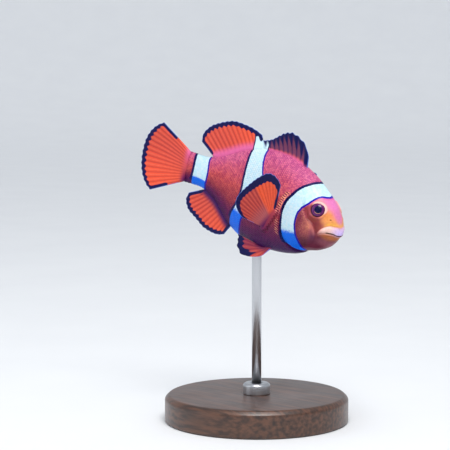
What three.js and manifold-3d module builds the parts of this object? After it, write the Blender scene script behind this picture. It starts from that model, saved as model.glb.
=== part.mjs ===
// A life-size clownfish on a plain round display stand.
//
// The fish is modelled straight, in millimetres, with its snout tip at the origin: it faces +X,
// its left flank is +Y and its back is +Z. Its tail is then curved a little to one side, and the
// whole fish is tipped nose down and lifted onto the rod. The stand's underside is the floor.
// Body shapes are stated as fractions of the fish's standard length, from the snout to the end
// of the tail stalk.

import * as THREE from 'three';
import { mergeVertices } from 'three/addons/utils/BufferGeometryUtils.js';
import Module from 'manifold-3d';

const wasm = await Module();
wasm.setup();

// ---------------------------------------------------------------- driving dimensions

const LENGTH = 58; // standard length of the fish
const GAP = 0.3; // the thin cut between neighbouring pieces

// How the fish is held.
const NOSE_DOWN = THREE.MathUtils.degToRad(16.7);
const SNOUT_FORWARD = 31; // from the middle of the stand
const SNOUT_HEIGHT = 56.5;
const TAIL_CURVE_RADIUS = 166; // the tail curves to the fish's right on this radius
const TAIL_CURVE_START = 0.3;

// The body's sections: station behind the snout, height of the back, height of the belly,
// half width, and the height at which the body is widest.
const SECTIONS = [
  [0.012, 0.043, -0.038, 0.033, 0.003],
  [0.04, 0.092, -0.068, 0.059, 0.008],
  [0.1, 0.144, -0.11, 0.084, 0.018],
  [0.16, 0.182, -0.1345, 0.096, 0.022],
  [0.24, 0.228, -0.18, 0.106, 0.025],
  [0.33, 0.262, -0.208, 0.108, 0.027],
  [0.43, 0.277, -0.2225, 0.103, 0.028],
  [0.55, 0.264, -0.227, 0.088, 0.028],
  [0.67, 0.222, -0.188, 0.068, 0.029],
  [0.8, 0.15, -0.088, 0.045, 0.028],
  [0.9, 0.11, -0.054, 0.03, 0.026],
  [1.0, 0.107, -0.058, 0.018, 0.025],
  [1.03, 0.1, -0.052, 0.01, 0.025],
];
const BODY_END = 1.03;

// How full the sections are above and below the widest height: under 1 is boxy, over 1 is thin.
const FULLNESS_ABOVE = [[0, 0.83], [0.12, 0.78], [0.25, 0.92], [0.36, 1.1], [0.5, 1.2], [1, 1.1]];
const FULLNESS_BELOW = [[0, 0.95], [0.15, 0.9], [0.3, 0.9], [0.5, 0.95], [0.7, 1.15], [1, 1.1]];

const BODY_RINGS = 36;
const BODY_SIDES = 28;
const SNOUT_CROWDING = 1.7; // how much closer the rings lie towards the snout

// The mouth line runs from the snout tip to the corner of the lips and then down to the throat.
const MOUTH_LINE = [[-0.03, -0.002], [0.0, -0.002], [0.022, 0.006], [0.046, 0.005], [0.072, -0.006],
  [0.09, -0.022], [0.1, -0.06], [0.108, -0.12], [0.11, -0.2]];
const LIP_TOP_LINE = [[-0.03, 0.03], [0.014, 0.037], [0.034, 0.038], [0.058, 0.027], [0.078, 0.007],
  [0.089, -0.012]];
const LIPS = { corner: 0.088, swell: 0.008, lowerSwell: 0.0048, lowerDepth: 0.022, roundness: 0.7 };

// The gill opening, from the nape to the throat, and the ridge in front of the gill cover.
const GILL_LINE = [[0.25, 0.34], [0.262, 0.2], [0.29, 0.11], [0.312, 0.02], [0.3, -0.07],
  [0.25, -0.135], [0.18, -0.19], [0.12, -0.26]];
const CHEEK_RIDGE = [[0.2, 0.1], [0.168, 0.058], [0.149, 0.037], [0.122, 0.022], [0.107, 0.002],
  [0.1, -0.03], [0.12, -0.075], [0.165, -0.11], [0.22, -0.125]];
const GILL_COVER_REAR = [[0.22, -0.125], [0.268, -0.118], [0.305, -0.07], [0.33, 0.02], [0.3, 0.11],
  [0.25, 0.125], [0.2, 0.1]];
const GILL_COVER_CORE = 0.8; // the cover is the outer part of the flank beyond this share
const GILL_COVER_HALF_WIDTH = 0.09; // half the head's width there

const EYE = { station: 0.1175, height: 0.099, radius: 0.0362, depth: 0.0215, sink: 0.0105 };

const TAIL_STALK_START = 0.8;

// Fins: thickness at the root and at the margin, how far out the margin's thickness is reached,
// and how far the roots of the median fins lie inside the body.
const FIN_ROOT = 1.0;
const FIN_EDGE = 0.52;
const FIN_TAPER = 0.62;
const MEDIAN_SINK = 0.03;

// Median fins. A ray is [share of the base, height, lean back from upright in degrees].
const DORSAL_FRONT = {
  from: 0.295, to: 0.568, spines: 11, scallop: 0.05,
  rays: [[0, 0.052, 10], [0.06, 0.09, 13], [0.13, 0.111, 17], [0.2, 0.122, 21], [0.28, 0.126, 24],
    [0.42, 0.112, 28], [0.6, 0.082, 31], [0.8, 0.052, 34], [1, 0.04, 36]],
};
const DORSAL_REAR = {
  from: 0.575, to: 0.855, spines: 15, scallop: 0.02,
  rays: [[0, 0.066, 30], [0.2, 0.118, 34], [0.45, 0.158, 39], [0.7, 0.168, 46], [0.88, 0.148, 53],
    [1, 0.1, 60]],
};
const ANAL = {
  from: 0.665, to: 0.865, spines: 14, scallop: 0.02,
  rays: [[0, 0.058, 26], [0.2, 0.112, 30], [0.45, 0.155, 37], [0.7, 0.162, 45], [0.88, 0.14, 53],
    [1, 0.092, 62]],
};
const TAIL_FIN = {
  root: 0.985, rise: 0.076, middle: 0.025, spread: 30, length: 0.28, roundness: 0.23,
  squareness: 2.4, spines: 15, scallop: 0.012,
};
// Paired fins, as on the right side, with their rays evenly spaced between the first and the last.
// A pectoral fin's plane is swung out from the flank and tilted out from upright, and in it the
// rays are turned back from upright. A pelvic ray is turned outwards and downwards from straight
// back, and the left fin is folded closer to the belly. All are in degrees.
const PECTORAL = {
  rootFrom: [0.344, 0.019], rootTo: [0.411, -0.093],
  right: { swing: 48, tilt: 32, first: 4, last: 73 },
  left: { swing: 40, tilt: 32, first: 30, last: 99 },
  lengths: [[0, 0.154], [0.25, 0.252], [0.5, 0.238], [0.75, 0.221], [1, 0.12]],
  spines: 17, scallop: 0.01, sink: 0.02,
};
const PELVIC = {
  rootFrom: [0.37, -0.042, -0.21], rootTo: [0.43, -0.026, -0.2225],
  right: { first: [3, 50], last: [12, -10] },
  left: { first: [4, 13], last: [10, -6] },
  lengths: [[0, 0.056], [0.1, 0.085], [0.2, 0.105], [0.3, 0.138], [0.45, 0.167], [0.6, 0.167],
    [0.8, 0.153], [1, 0.147]],
  spines: 6, scallop: 0.03, sink: 0.02,
};

// The stand.
const BASE = { radius: 27, height: 8, chamfer: 1.2, socket: 3 };
const ROD_RADIUS = 1.4;
const COLLAR = { radius: 4, height: 3, chamfer: 0.6 };
const ROUND_SIDES = 36;

// ---------------------------------------------------------------- numbers and curves

// A smooth curve through knots that never overshoots them (monotone cubic).
function smoothCurve(knots) {
  const x = knots.map((knot) => knot[0]);
  const y = knots.map((knot) => knot[1]);
  const last = x.length - 1;
  const step = x.slice(1).map((value, i) => value - x[i]);
  const slope = step.map((width, i) => (y[i + 1] - y[i]) / width);
  const tangent = x.map((_, i) => {
    if (i === 0) return endTangent(step[0], step[1], slope[0], slope[1]);
    if (i === last) return endTangent(step[last - 1], step[last - 2], slope[last - 1], slope[last - 2]);
    if (slope[i - 1] * slope[i] <= 0) return 0;
    const before = 2 * step[i] + step[i - 1];
    const after = step[i] + 2 * step[i - 1];
    return (before + after) / (before / slope[i - 1] + after / slope[i]);
  });
  return (at) => {
    const value = Math.min(Math.max(at, x[0]), x[last]);
    let i = 0;
    while (i < last - 1 && value > x[i + 1]) i += 1;
    const t = (value - x[i]) / step[i];
    const t2 = t * t;
    const t3 = t2 * t;
    return (2 * t3 - 3 * t2 + 1) * y[i] + (t3 - 2 * t2 + t) * step[i] * tangent[i]
      + (3 * t2 - 2 * t3) * y[i + 1] + (t3 - t2) * step[i] * tangent[i + 1];
  };
}

// The slope at the end of such a curve.
function endTangent(width, nextWidth, slope, nextSlope) {
  const tangent = ((2 * width + nextWidth) * slope - width * nextSlope) / (width + nextWidth);
  if (tangent * slope <= 0) return 0;
  if (slope * nextSlope <= 0 && Math.abs(tangent) > 3 * Math.abs(slope)) return 3 * slope;
  return tangent;
}

// A chain of straight lines through knots.
function straightCurve(knots) {
  return (at) => {
    if (at <= knots[0][0]) return knots[0][1];
    for (let i = 1; i < knots.length; i += 1) {
      const [x0, y0] = knots[i - 1];
      const [x1, y1] = knots[i];
      if (at <= x1) return y0 + ((y1 - y0) * (at - x0)) / (x1 - x0);
    }
    return knots[knots.length - 1][1];
  };
}

// A smooth line through a few points of the flank, as many points in millimetres.
function flankLine(points, steps = 20) {
  const knots = points.map(([station, height]) => new THREE.Vector2(-station * LENGTH, height * LENGTH));
  return new THREE.SplineCurve(knots).getPoints(steps);
}

// The same line moved sideways: forwards for a line that runs down the flank, downwards for one
// that runs back along it.
function movedLine(line, distance) {
  return line.map((point, i) => {
    const before = line[Math.max(i - 1, 0)];
    const after = line[Math.min(i + 1, line.length - 1)];
    const along = after.clone().sub(before).normalize();
    return new THREE.Vector2(point.x - along.y * distance, point.y + along.x * distance);
  });
}

const degrees = THREE.MathUtils.degToRad;

// ---------------------------------------------------------------- the body's surface

// Sections are smoothed against the square root of the station, which rounds the snout.
function sectionCurve(column) {
  return smoothCurve([[0, 0], ...SECTIONS.map((row) => [Math.sqrt(row[0]), row[column]])]);
}

const backHeight = sectionCurve(1);
const bellyHeight = sectionCurve(2);
const halfWidth = sectionCurve(3);
const widestHeight = sectionCurve(4);
const fullnessAbove = straightCurve(FULLNESS_ABOVE);
const fullnessBelow = straightCurve(FULLNESS_BELOW);
const mouthHeight = smoothCurve(MOUTH_LINE.slice(0, 6));
const lipTopHeight = smoothCurve(LIP_TOP_LINE);

// How far the lips stand out of the snout, at a station and height on the flank.
function lipSwell(station, height) {
  if (station > LIPS.corner) return 0;
  const mouth = mouthHeight(station);
  const fade = Math.sqrt(Math.max(0, 1 - (station / LIPS.corner) ** 3));
  const upper = (height - mouth) / (lipTopHeight(station) - mouth);
  const lower = (mouth - height) / LIPS.lowerDepth;
  if (upper >= 0 && upper < 1) return LIPS.swell * fade * Math.sin(Math.PI * upper) ** LIPS.roundness;
  if (lower > 0 && lower < 1) return LIPS.lowerSwell * fade * Math.sin(Math.PI * lower) ** LIPS.roundness;
  return 0;
}

// A point of the smooth body. The angle starts at the back and turns down the right flank.
function plainBodyPoint(station, angle) {
  const root = Math.sqrt(station);
  const middle = widestHeight(root);
  const up = Math.cos(angle);
  const across = Math.sin(angle);
  const above = up >= 0;
  const reach = above ? backHeight(root) - middle : middle - bellyHeight(root);
  const fullness = above ? fullnessAbove(station) : fullnessBelow(station);
  const width = halfWidth(root) * Math.abs(across) ** fullness;
  const height = middle + reach * up;
  return new THREE.Vector3(-station, -Math.sign(across) * width, height).multiplyScalar(LENGTH);
}

// The body's outward direction at a point.
function bodyNormal(station, angle) {
  const small = 1e-3;
  const nearSnout = Math.max(station, 2 * small);
  const along = plainBodyPoint(nearSnout + small, angle).sub(plainBodyPoint(nearSnout - small, angle));
  const round = plainBodyPoint(nearSnout, angle + small).sub(plainBodyPoint(nearSnout, angle - small));
  return along.cross(round).normalize();
}

// The body with its lips, grown outwards by a distance.
function bodyPoint(station, angle, grown = 0) {
  const point = plainBodyPoint(station, angle);
  const swell = lipSwell(station, point.z / LENGTH) * LENGTH;
  return point.addScaledVector(bodyNormal(station, angle), swell + grown);
}

// A point of the right flank at a station and height.
function flankPoint(station, height) {
  const root = Math.sqrt(station);
  const middle = widestHeight(root);
  const above = height >= middle;
  const reach = above ? backHeight(root) - middle : middle - bellyHeight(root);
  const angle = Math.acos(THREE.MathUtils.clamp((height - middle) / reach, -1, 1));
  return { point: plainBodyPoint(station, angle), normal: bodyNormal(station, angle) };
}

// ---------------------------------------------------------------- meshes and solids

function geometryOf(vertices, triangles) {
  const geometry = new THREE.BufferGeometry();
  const positions = vertices.flatMap((vertex) => [vertex.x, vertex.y, vertex.z]);
  geometry.setAttribute('position', new THREE.Float32BufferAttribute(positions, 3));
  geometry.setIndex(triangles);
  return geometry;
}

// The whole body as a closed skin of rings between the snout tip and the end of the tail stalk.
function bodyGeometry(grown = 0) {
  const vertices = [new THREE.Vector3(grown, 0, 0)];
  const triangles = [];
  const ringStart = (ring) => 1 + (ring - 1) * BODY_SIDES;
  for (let ring = 1; ring <= BODY_RINGS; ring += 1) {
    const station = BODY_END * (ring / BODY_RINGS) ** SNOUT_CROWDING;
    for (let side = 0; side < BODY_SIDES; side += 1) {
      vertices.push(bodyPoint(station, (2 * Math.PI * side) / BODY_SIDES, grown));
    }
  }
  for (let side = 0; side < BODY_SIDES; side += 1) {
    const next = (side + 1) % BODY_SIDES;
    triangles.push(0, ringStart(1) + side, ringStart(1) + next);
    for (let ring = 1; ring < BODY_RINGS; ring += 1) {
      const here = ringStart(ring);
      const there = ringStart(ring + 1);
      triangles.push(here + side, there + side, there + next);
      triangles.push(here + side, there + next, here + next);
    }
  }
  const tail = new THREE.Vector3(-(BODY_END * LENGTH) - grown, 0, SECTIONS.at(-1)[4] * LENGTH);
  const tailIndex = vertices.push(tail) - 1;
  for (let side = 0; side < BODY_SIDES; side += 1) {
    const next = (side + 1) % BODY_SIDES;
    triangles.push(tailIndex, ringStart(BODY_RINGS) + next, ringStart(BODY_RINGS) + side);
  }
  return geometryOf(vertices, triangles);
}

// A thin closed plate around a middle surface. The surface gives a point for (across, along),
// both from 0 to 1, and the thickness falls from the root to the margin.
function plateGeometry(surface, columns, rows) {
  const small = 1e-3;
  const sheets = [[], []];
  const triangles = [];
  for (let i = 0; i <= columns; i += 1) {
    for (let j = 0; j <= rows; j += 1) {
      const across = i / columns;
      const along = j / rows;
      const low = Math.max(across - small, 0);
      const high = Math.min(across + small, 1);
      const sideways = surface(high, along).sub(surface(low, along));
      const near = Math.max(along - small, 0);
      const far = Math.min(along + small, 1);
      const outwards = surface(across, far).sub(surface(across, near));
      const normal = sideways.cross(outwards).normalize();
      const half = THREE.MathUtils.lerp(FIN_ROOT, FIN_EDGE, Math.min(1, along / FIN_TAPER)) / 2;
      const middle = surface(across, along);
      sheets[0].push(middle.clone().addScaledVector(normal, half));
      sheets[1].push(middle.clone().addScaledVector(normal, -half));
    }
  }
  const count = sheets[0].length;
  const at = (i, j) => i * (rows + 1) + j;
  for (let i = 0; i < columns; i += 1) {
    for (let j = 0; j < rows; j += 1) {
      triangles.push(at(i, j), at(i + 1, j), at(i + 1, j + 1), at(i, j), at(i + 1, j + 1), at(i, j + 1));
      triangles.push(count + at(i, j), count + at(i + 1, j + 1), count + at(i + 1, j));
      triangles.push(count + at(i, j), count + at(i, j + 1), count + at(i + 1, j + 1));
    }
  }
  const border = [];
  for (let i = 0; i < columns; i += 1) border.push(at(i, 0));
  for (let j = 0; j < rows; j += 1) border.push(at(columns, j));
  for (let i = columns; i > 0; i -= 1) border.push(at(i, rows));
  for (let j = rows; j > 0; j -= 1) border.push(at(0, j));
  border.forEach((here, k) => {
    const next = border[(k + 1) % border.length];
    triangles.push(next, here, count + here, next, count + here, count + next);
  });
  return geometryOf([...sheets[0], ...sheets[1]], triangles);
}

function solidOf(geometry) {
  const bare = geometry.clone();
  bare.deleteAttribute('normal');
  bare.deleteAttribute('uv');
  const merged = mergeVertices(bare, 1e-5);
  const solid = new wasm.Manifold(new wasm.Mesh({
    numProp: 3,
    vertProperties: Float32Array.from(merged.attributes.position.array),
    triVerts: Uint32Array.from(merged.index.array),
  }));
  return solid;
}

function geometryFrom(solid) {
  const mesh = solid.getMesh();
  const geometry = new THREE.BufferGeometry();
  geometry.setAttribute('position', new THREE.Float32BufferAttribute(mesh.vertProperties, 3));
  geometry.setIndex([...mesh.triVerts]);
  return geometry;
}

// A straight prism through the fish, from one side to the other, over an outline of the flank.
function flankPrism(outline, fromSide, toSide) {
  const geometry = new THREE.ExtrudeGeometry(new THREE.Shape(outline), {
    depth: toSide - fromSide,
    bevelEnabled: false,
    steps: 1,
  });
  geometry.rotateX(Math.PI / 2);
  geometry.translate(0, toSide, 0);
  return solidOf(geometry);
}

const REACH = 2 * LENGTH; // further than any part of the fish
const WIDE = LENGTH / 2;

// Everything in front of a line that runs down the flank.
function inFrontOf(line) {
  const top = new THREE.Vector2(REACH, line[0].y);
  const low = new THREE.Vector2(REACH, line.at(-1).y);
  return flankPrism([...line, low, top], -WIDE, WIDE);
}

// ---------------------------------------------------------------- fins

// The little waves of a margin, where the rays stand out of the membrane between them.
function scalloped(share, fin) {
  const ray = share * (fin.spines - 1);
  const between = ray - Math.floor(ray);
  return 1 - fin.scallop * Math.sin(Math.PI * between) ** 2;
}

// A fin of the middle line of the body, above it or below it.
function medianFin(fin, edgeHeight, upwards) {
  const height = smoothCurve(fin.rays.map(([share, tall]) => [share, tall]));
  const lean = smoothCurve(fin.rays.map(([share, , angle]) => [share, angle]));
  return (share, along) => {
    const station = THREE.MathUtils.lerp(fin.from, fin.to, share);
    const angle = degrees(lean(share));
    const tall = height(share) * scalloped(share, fin);
    const reach = THREE.MathUtils.lerp(-MEDIAN_SINK, tall, along);
    const root = edgeHeight(Math.sqrt(station));
    return new THREE.Vector3(
      -station - reach * Math.sin(angle),
      0,
      root + upwards * reach * Math.cos(angle),
    ).multiplyScalar(LENGTH);
  };
}

function tailFin(share, along) {
  const side = 2 * share - 1;
  const angle = degrees(TAIL_FIN.spread) * side;
  const rounding = 1 - TAIL_FIN.roundness * Math.abs(side) ** TAIL_FIN.squareness;
  const reach = TAIL_FIN.length * rounding * scalloped(share, TAIL_FIN) * along;
  return new THREE.Vector3(
    -TAIL_FIN.root - reach * Math.cos(angle),
    0,
    TAIL_FIN.middle + TAIL_FIN.rise * side + reach * Math.sin(angle),
  ).multiplyScalar(LENGTH);
}

// The fan of a paired fin: root line, direction of each ray, and its length.
function fanFin(fin, rootAt, directionAt) {
  const length = smoothCurve(fin.lengths);
  return (share, along) => {
    const full = length(share) * scalloped(share, fin);
    const reach = THREE.MathUtils.lerp(-fin.sink, full, along) * LENGTH;
    return rootAt(share).addScaledVector(directionAt(share), reach);
  };
}

function pectoralFin(side) {
  const from = flankPoint(...PECTORAL.rootFrom).point;
  const to = flankPoint(...PECTORAL.rootTo).point;
  const spread = PECTORAL[side];
  const swing = degrees(spread.swing);
  const tilt = degrees(spread.tilt);
  const back = new THREE.Vector3(-Math.cos(swing), -Math.sin(swing), 0);
  const up = new THREE.Vector3(0, -Math.sin(tilt), Math.cos(tilt));
  up.addScaledVector(back, -up.dot(back)).normalize();
  const rootAt = (share) => from.clone().lerp(to, share);
  const directionAt = (share) => {
    const angle = degrees(THREE.MathUtils.lerp(spread.first, spread.last, share));
    return up.clone().multiplyScalar(Math.cos(angle)).addScaledVector(back, Math.sin(angle));
  };
  return mirrored(fanFin(PECTORAL, rootAt, directionAt), side);
}

function pelvicFin(side) {
  const from = new THREE.Vector3(-PELVIC.rootFrom[0], PELVIC.rootFrom[1], PELVIC.rootFrom[2]);
  const to = new THREE.Vector3(-PELVIC.rootTo[0], PELVIC.rootTo[1], PELVIC.rootTo[2]);
  const rayDirection = ([outwards, downwards]) => new THREE.Vector3(
    -Math.cos(degrees(downwards)) * Math.cos(degrees(outwards)),
    -Math.cos(degrees(downwards)) * Math.sin(degrees(outwards)),
    -Math.sin(degrees(downwards)),
  );
  const first = rayDirection(PELVIC[side].first);
  const last = rayDirection(PELVIC[side].last);
  const rootAt = (share) => from.clone().lerp(to, share).multiplyScalar(LENGTH);
  const directionAt = (share) => first.clone().lerp(last, share).normalize();
  return mirrored(fanFin(PELVIC, rootAt, directionAt), side);
}

function mirrored(surface, side) {
  return (across, along) => {
    const point = surface(across, along);
    if (side === 'left') point.y = -point.y;
    return point;
  };
}

// ---------------------------------------------------------------- parting the fish

const whole = solidOf(bodyGeometry());
const wholeGrown = solidOf(bodyGeometry(GAP));

const gillLine = flankLine(GILL_LINE);
const mouthLine = flankLine(MOUTH_LINE);
const lipLine = flankLine(LIP_TOP_LINE);
const stalkLine = [[TAIL_STALK_START, 0.4], [TAIL_STALK_START, -0.4]].map(
  ([a, z]) => new THREE.Vector2(-a * LENGTH, z * LENGTH),
);

const half = GAP / 2;
const headBlock = whole.intersect(inFrontOf(movedLine(gillLine, half)));
const behindHead = whole.subtract(inFrontOf(movedLine(gillLine, -half)));
const trunk = behindHead.intersect(inFrontOf(movedLine(stalkLine, half)));
const tailStalk = behindHead.subtract(inFrontOf(movedLine(stalkLine, -half)));

// The lower jaw lies below the mouth line, in front of the throat.
function jawRegion(grown) {
  const line = movedLine(mouthLine, -grown);
  const low = new THREE.Vector2(line[0].x, line.at(-1).y);
  return flankPrism([...line, low], -WIDE, WIDE);
}

// The upper lip lies between the mouth line and its own top line.
function lipRegion(grown) {
  const corner = Math.max(...lipLine.map((point) => -point.x));
  const low = movedLine(mouthLine, grown).filter((point) => -point.x < corner);
  const top = movedLine(lipLine, -grown);
  return flankPrism([...low, ...top.reverse()], -WIDE, WIDE);
}

const lowerJaw = headBlock.intersect(jawRegion(-half));
const aboveMouth = headBlock.subtract(jawRegion(half));
const upperLip = aboveMouth.intersect(lipRegion(-half));
const face = aboveMouth.subtract(lipRegion(half));

// A gill cover is a shell on the flank, between the cheek ridge and the gill opening.
function coverRegion(side, grown, core) {
  const ridge = movedLine(flankLine(CHEEK_RIDGE), grown);
  const rear = flankLine(GILL_COVER_REAR, 16).slice(1, -1);
  const [fromSide, toSide] = side === 'right' ? [-WIDE, 0] : [0, WIDE];
  return flankPrism([...ridge, ...rear], fromSide, toSide).subtract(scaledWidth(core));
}

// The body made narrower, as the core that lies under the gill covers.
function scaledWidth(share) {
  const geometry = bodyGeometry();
  geometry.scale(1, share, 1);
  return solidOf(geometry);
}

const coverGapCore = GILL_COVER_CORE - GAP / (GILL_COVER_HALF_WIDTH * LENGTH);
const gillCoverRight = face.intersect(coverRegion('right', -half, GILL_COVER_CORE));
const gillCoverLeft = face.intersect(coverRegion('left', -half, GILL_COVER_CORE));

// An eyeball, set in its socket at right angles to the face.
function eyeball(side, grown) {
  const geometry = new THREE.SphereGeometry(1, 16, 8);
  const radius = EYE.radius * LENGTH + grown;
  geometry.scale(radius, radius, EYE.depth * LENGTH + grown);
  const { point, normal } = flankPoint(EYE.station, EYE.height);
  const centre = point.addScaledVector(normal, -EYE.sink * LENGTH);
  if (side === 'left') {
    centre.y = -centre.y;
    normal.y = -normal.y;
  }
  const turn = new THREE.Quaternion().setFromUnitVectors(new THREE.Vector3(0, 0, 1), normal);
  geometry.applyQuaternion(turn);
  geometry.translate(centre.x, centre.y, centre.z);
  return solidOf(geometry);
}

const head = face
  .subtract(coverRegion('right', half, coverGapCore))
  .subtract(coverRegion('left', half, coverGapCore))
  .subtract(eyeball('right', GAP))
  .subtract(eyeball('left', GAP));

function finSolid(surface, fin, columnsPerRay, rows) {
  const columns = (fin.spines - 1) * columnsPerRay;
  return solidOf(plateGeometry(surface, columns, rows)).subtract(wholeGrown);
}

// ---------------------------------------------------------------- pose

// The tail's curve, which leaves the front of the body straight.
function curveTail(point) {
  const behind = -point.x - TAIL_CURVE_START * LENGTH;
  if (behind <= 0) return point;
  const angle = -behind / TAIL_CURVE_RADIUS;
  const sideways = point.y;
  point.x = -TAIL_CURVE_START * LENGTH + TAIL_CURVE_RADIUS * Math.sin(angle) + sideways * Math.sin(angle);
  point.y = -TAIL_CURVE_RADIUS * (1 - Math.cos(angle)) + sideways * Math.cos(angle);
  return point;
}

function curved(geometry) {
  const position = geometry.attributes.position;
  const point = new THREE.Vector3();
  for (let i = 0; i < position.count; i += 1) {
    point.fromBufferAttribute(position, i);
    curveTail(point);
    position.setXYZ(i, point.x, point.y, point.z);
  }
  return geometry;
}

const fish = new THREE.Group();
fish.rotation.y = NOSE_DOWN;
fish.position.set(SNOUT_FORWARD, 0, SNOUT_HEIGHT);
fish.updateMatrix();

// ---------------------------------------------------------------- finishes

function finish(color, roughness, metalness = 0) {
  return () => new THREE.MeshStandardMaterial({ color, roughness, metalness });
}

const orangeSkin = finish(0xd9602f, 0.42);
const faceSkin = finish(0xdc7238, 0.42);
const lipSkin = finish(0xe9b9a6, 0.4);
const whiteCover = finish(0xe4eff2, 0.4);
const finSkin = finish(0xcf5a26, 0.45);
const eyeGloss = finish(0x1b1830, 0.08);
const darkWood = finish(0x4a2f20, 0.5);
const satinSteel = finish(0xb8babd, 0.32, 1);

function addMesh(parent, name, geometry, material) {
  const mesh = new THREE.Mesh(geometry, material());
  mesh.name = name;
  parent.add(mesh);
}

// ---------------------------------------------------------------- assembly

function addFlesh(name, solid, material) {
  addMesh(fish, name, curved(geometryFrom(solid)), material);
}

addFlesh('head', head, faceSkin);
addFlesh('lip_upper', upperLip, lipSkin);
addFlesh('jaw_lower', lowerJaw, faceSkin);
addFlesh('gill_cover_right', gillCoverRight, whiteCover);
addFlesh('gill_cover_left', gillCoverLeft, whiteCover);
addFlesh('trunk', trunk, orangeSkin);
addFlesh('tail_stalk', tailStalk, orangeSkin);
addFlesh('fin_dorsal_front', finSolid(medianFin(DORSAL_FRONT, backHeight, 1), DORSAL_FRONT, 2, 3), finSkin);
addFlesh('fin_dorsal_rear', finSolid(medianFin(DORSAL_REAR, backHeight, 1), DORSAL_REAR, 1, 4), finSkin);
addFlesh('fin_anal', finSolid(medianFin(ANAL, bellyHeight, -1), ANAL, 1, 3), finSkin);
addFlesh('fin_tail', finSolid(tailFin, TAIL_FIN, 1, 5), finSkin);
for (const side of ['right', 'left']) {
  addFlesh(`eye_${side}`, eyeball(side, 0), eyeGloss);
  addFlesh(`fin_pectoral_${side}`, finSolid(pectoralFin(side), PECTORAL, 1, 4), finSkin);
  addFlesh(`fin_pelvic_${side}`, finSolid(pelvicFin(side), PELVIC, 2, 4), finSkin);
}

const stand = new THREE.Group();

function turned(profile) {
  const points = profile.map(([radius, height]) => new THREE.Vector2(radius, height));
  const geometry = new THREE.LatheGeometry(points, ROUND_SIDES);
  geometry.rotateX(Math.PI / 2);
  return mergeVertices(bareGeometry(geometry), 1e-5);
}

function bareGeometry(geometry) {
  geometry.deleteAttribute('normal');
  geometry.deleteAttribute('uv');
  return geometry;
}

// A round base with a socket for the rod.
const socketRadius = ROD_RADIUS + GAP;
addMesh(stand, 'stand_base', turned([
  [0, 0],
  [BASE.radius, 0],
  [BASE.radius, BASE.height - BASE.chamfer],
  [BASE.radius - BASE.chamfer, BASE.height],
  [socketRadius, BASE.height],
  [socketRadius, BASE.height - BASE.socket],
  [0, BASE.height - BASE.socket],
]), darkWood);

// A collar round the foot of the rod.
const collarFoot = BASE.height + GAP;
const collarTop = collarFoot + COLLAR.height;
addMesh(stand, 'stand_collar', turned([
  [socketRadius, collarFoot],
  [COLLAR.radius, collarFoot],
  [COLLAR.radius, collarTop - COLLAR.chamfer],
  [COLLAR.radius - COLLAR.chamfer, collarTop],
  [socketRadius, collarTop],
  [socketRadius, collarFoot],
]), satinSteel);

// The rod runs up to the belly, and its top follows the belly's curve.
const rodFoot = BASE.height - BASE.socket + GAP;
const rodReach = SNOUT_HEIGHT;
const rodBlank = solidOf(turned([
  [0, rodFoot],
  [ROD_RADIUS, rodFoot],
  [ROD_RADIUS, rodReach],
  [0, rodReach],
]));
const trunkAsHeld = curved(geometryFrom(trunk)).applyMatrix4(fish.matrix);
trunkAsHeld.translate(0, 0, -GAP);
addMesh(stand, 'stand_rod', geometryFrom(rodBlank.subtract(solidOf(trunkAsHeld))), satinSteel);

const model = new THREE.Group();
model.add(fish, stand);

export default model;
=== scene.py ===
"""The looks of a life-size clownfish held on a plain round display stand.

The fish is shaped straight, with its snout tip at the origin, facing +X, its left flank towards
+Y and its back towards +Z. Its tail is then curved, and the whole fish is tipped nose down and
lifted onto the rod. Shapes of the fish are stated as shares of its standard length, and reliefs
and finishes in millimetres. Everything that is shown is in metres, in the frame of the solids.
"""

from __future__ import annotations

import logging
import math
from dataclasses import dataclass
from enum import Enum
from typing import Callable, Sequence

import bpy
import numpy as np
from mathutils import Matrix, Vector

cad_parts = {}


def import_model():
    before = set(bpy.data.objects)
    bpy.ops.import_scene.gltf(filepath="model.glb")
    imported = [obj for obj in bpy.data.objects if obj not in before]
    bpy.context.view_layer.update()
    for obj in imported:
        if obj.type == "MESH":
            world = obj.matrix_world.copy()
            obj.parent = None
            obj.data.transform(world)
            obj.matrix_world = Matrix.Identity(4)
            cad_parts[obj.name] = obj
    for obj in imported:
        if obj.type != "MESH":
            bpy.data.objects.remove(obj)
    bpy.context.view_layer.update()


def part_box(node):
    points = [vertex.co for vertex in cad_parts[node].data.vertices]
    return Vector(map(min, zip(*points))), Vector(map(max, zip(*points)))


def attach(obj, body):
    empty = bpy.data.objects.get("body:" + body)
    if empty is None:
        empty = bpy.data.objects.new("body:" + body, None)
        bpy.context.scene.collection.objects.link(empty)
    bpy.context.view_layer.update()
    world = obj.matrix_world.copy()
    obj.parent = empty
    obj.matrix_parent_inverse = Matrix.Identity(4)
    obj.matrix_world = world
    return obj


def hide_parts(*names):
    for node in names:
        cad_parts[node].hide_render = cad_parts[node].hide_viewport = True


LOG = logging.getLogger("clownfish")

MM = 0.001
LENGTH = 0.058  # standard length of the fish, snout to the end of the tail stalk
LENGTH_MM = LENGTH / MM

Array = np.ndarray
Pair = tuple[float, float]
Triple = tuple[float, float, float]
Colour = tuple[float, float, float, float]
Surface = Callable[[Array, Array], Array]
Tones = Callable[[Array, Array, Array], dict[str, Array]]
Node = bpy.types.Node
Material = bpy.types.Material
Mesh = bpy.types.Mesh
Socket = bpy.types.NodeSocket


# ---- numbers and curves


def smooth_step(low: float, high: float, value: Array) -> Array:
    """A smooth rise from 0 at low to 1 at high, or a fall where low is the larger."""
    share = np.clip((value - low) / (high - low), 0.0, 1.0)
    return share * share * (3.0 - 2.0 * share)


def bell(value: Array, width: float) -> Array:
    """A bell of height 1 around 0, with that half width."""
    return np.exp(-((value / width) ** 2))


def unit(vectors: Array) -> Array:
    """The vectors at length 1."""
    return vectors / np.maximum(np.linalg.norm(vectors, axis=-1, keepdims=True), 1e-12)


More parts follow.
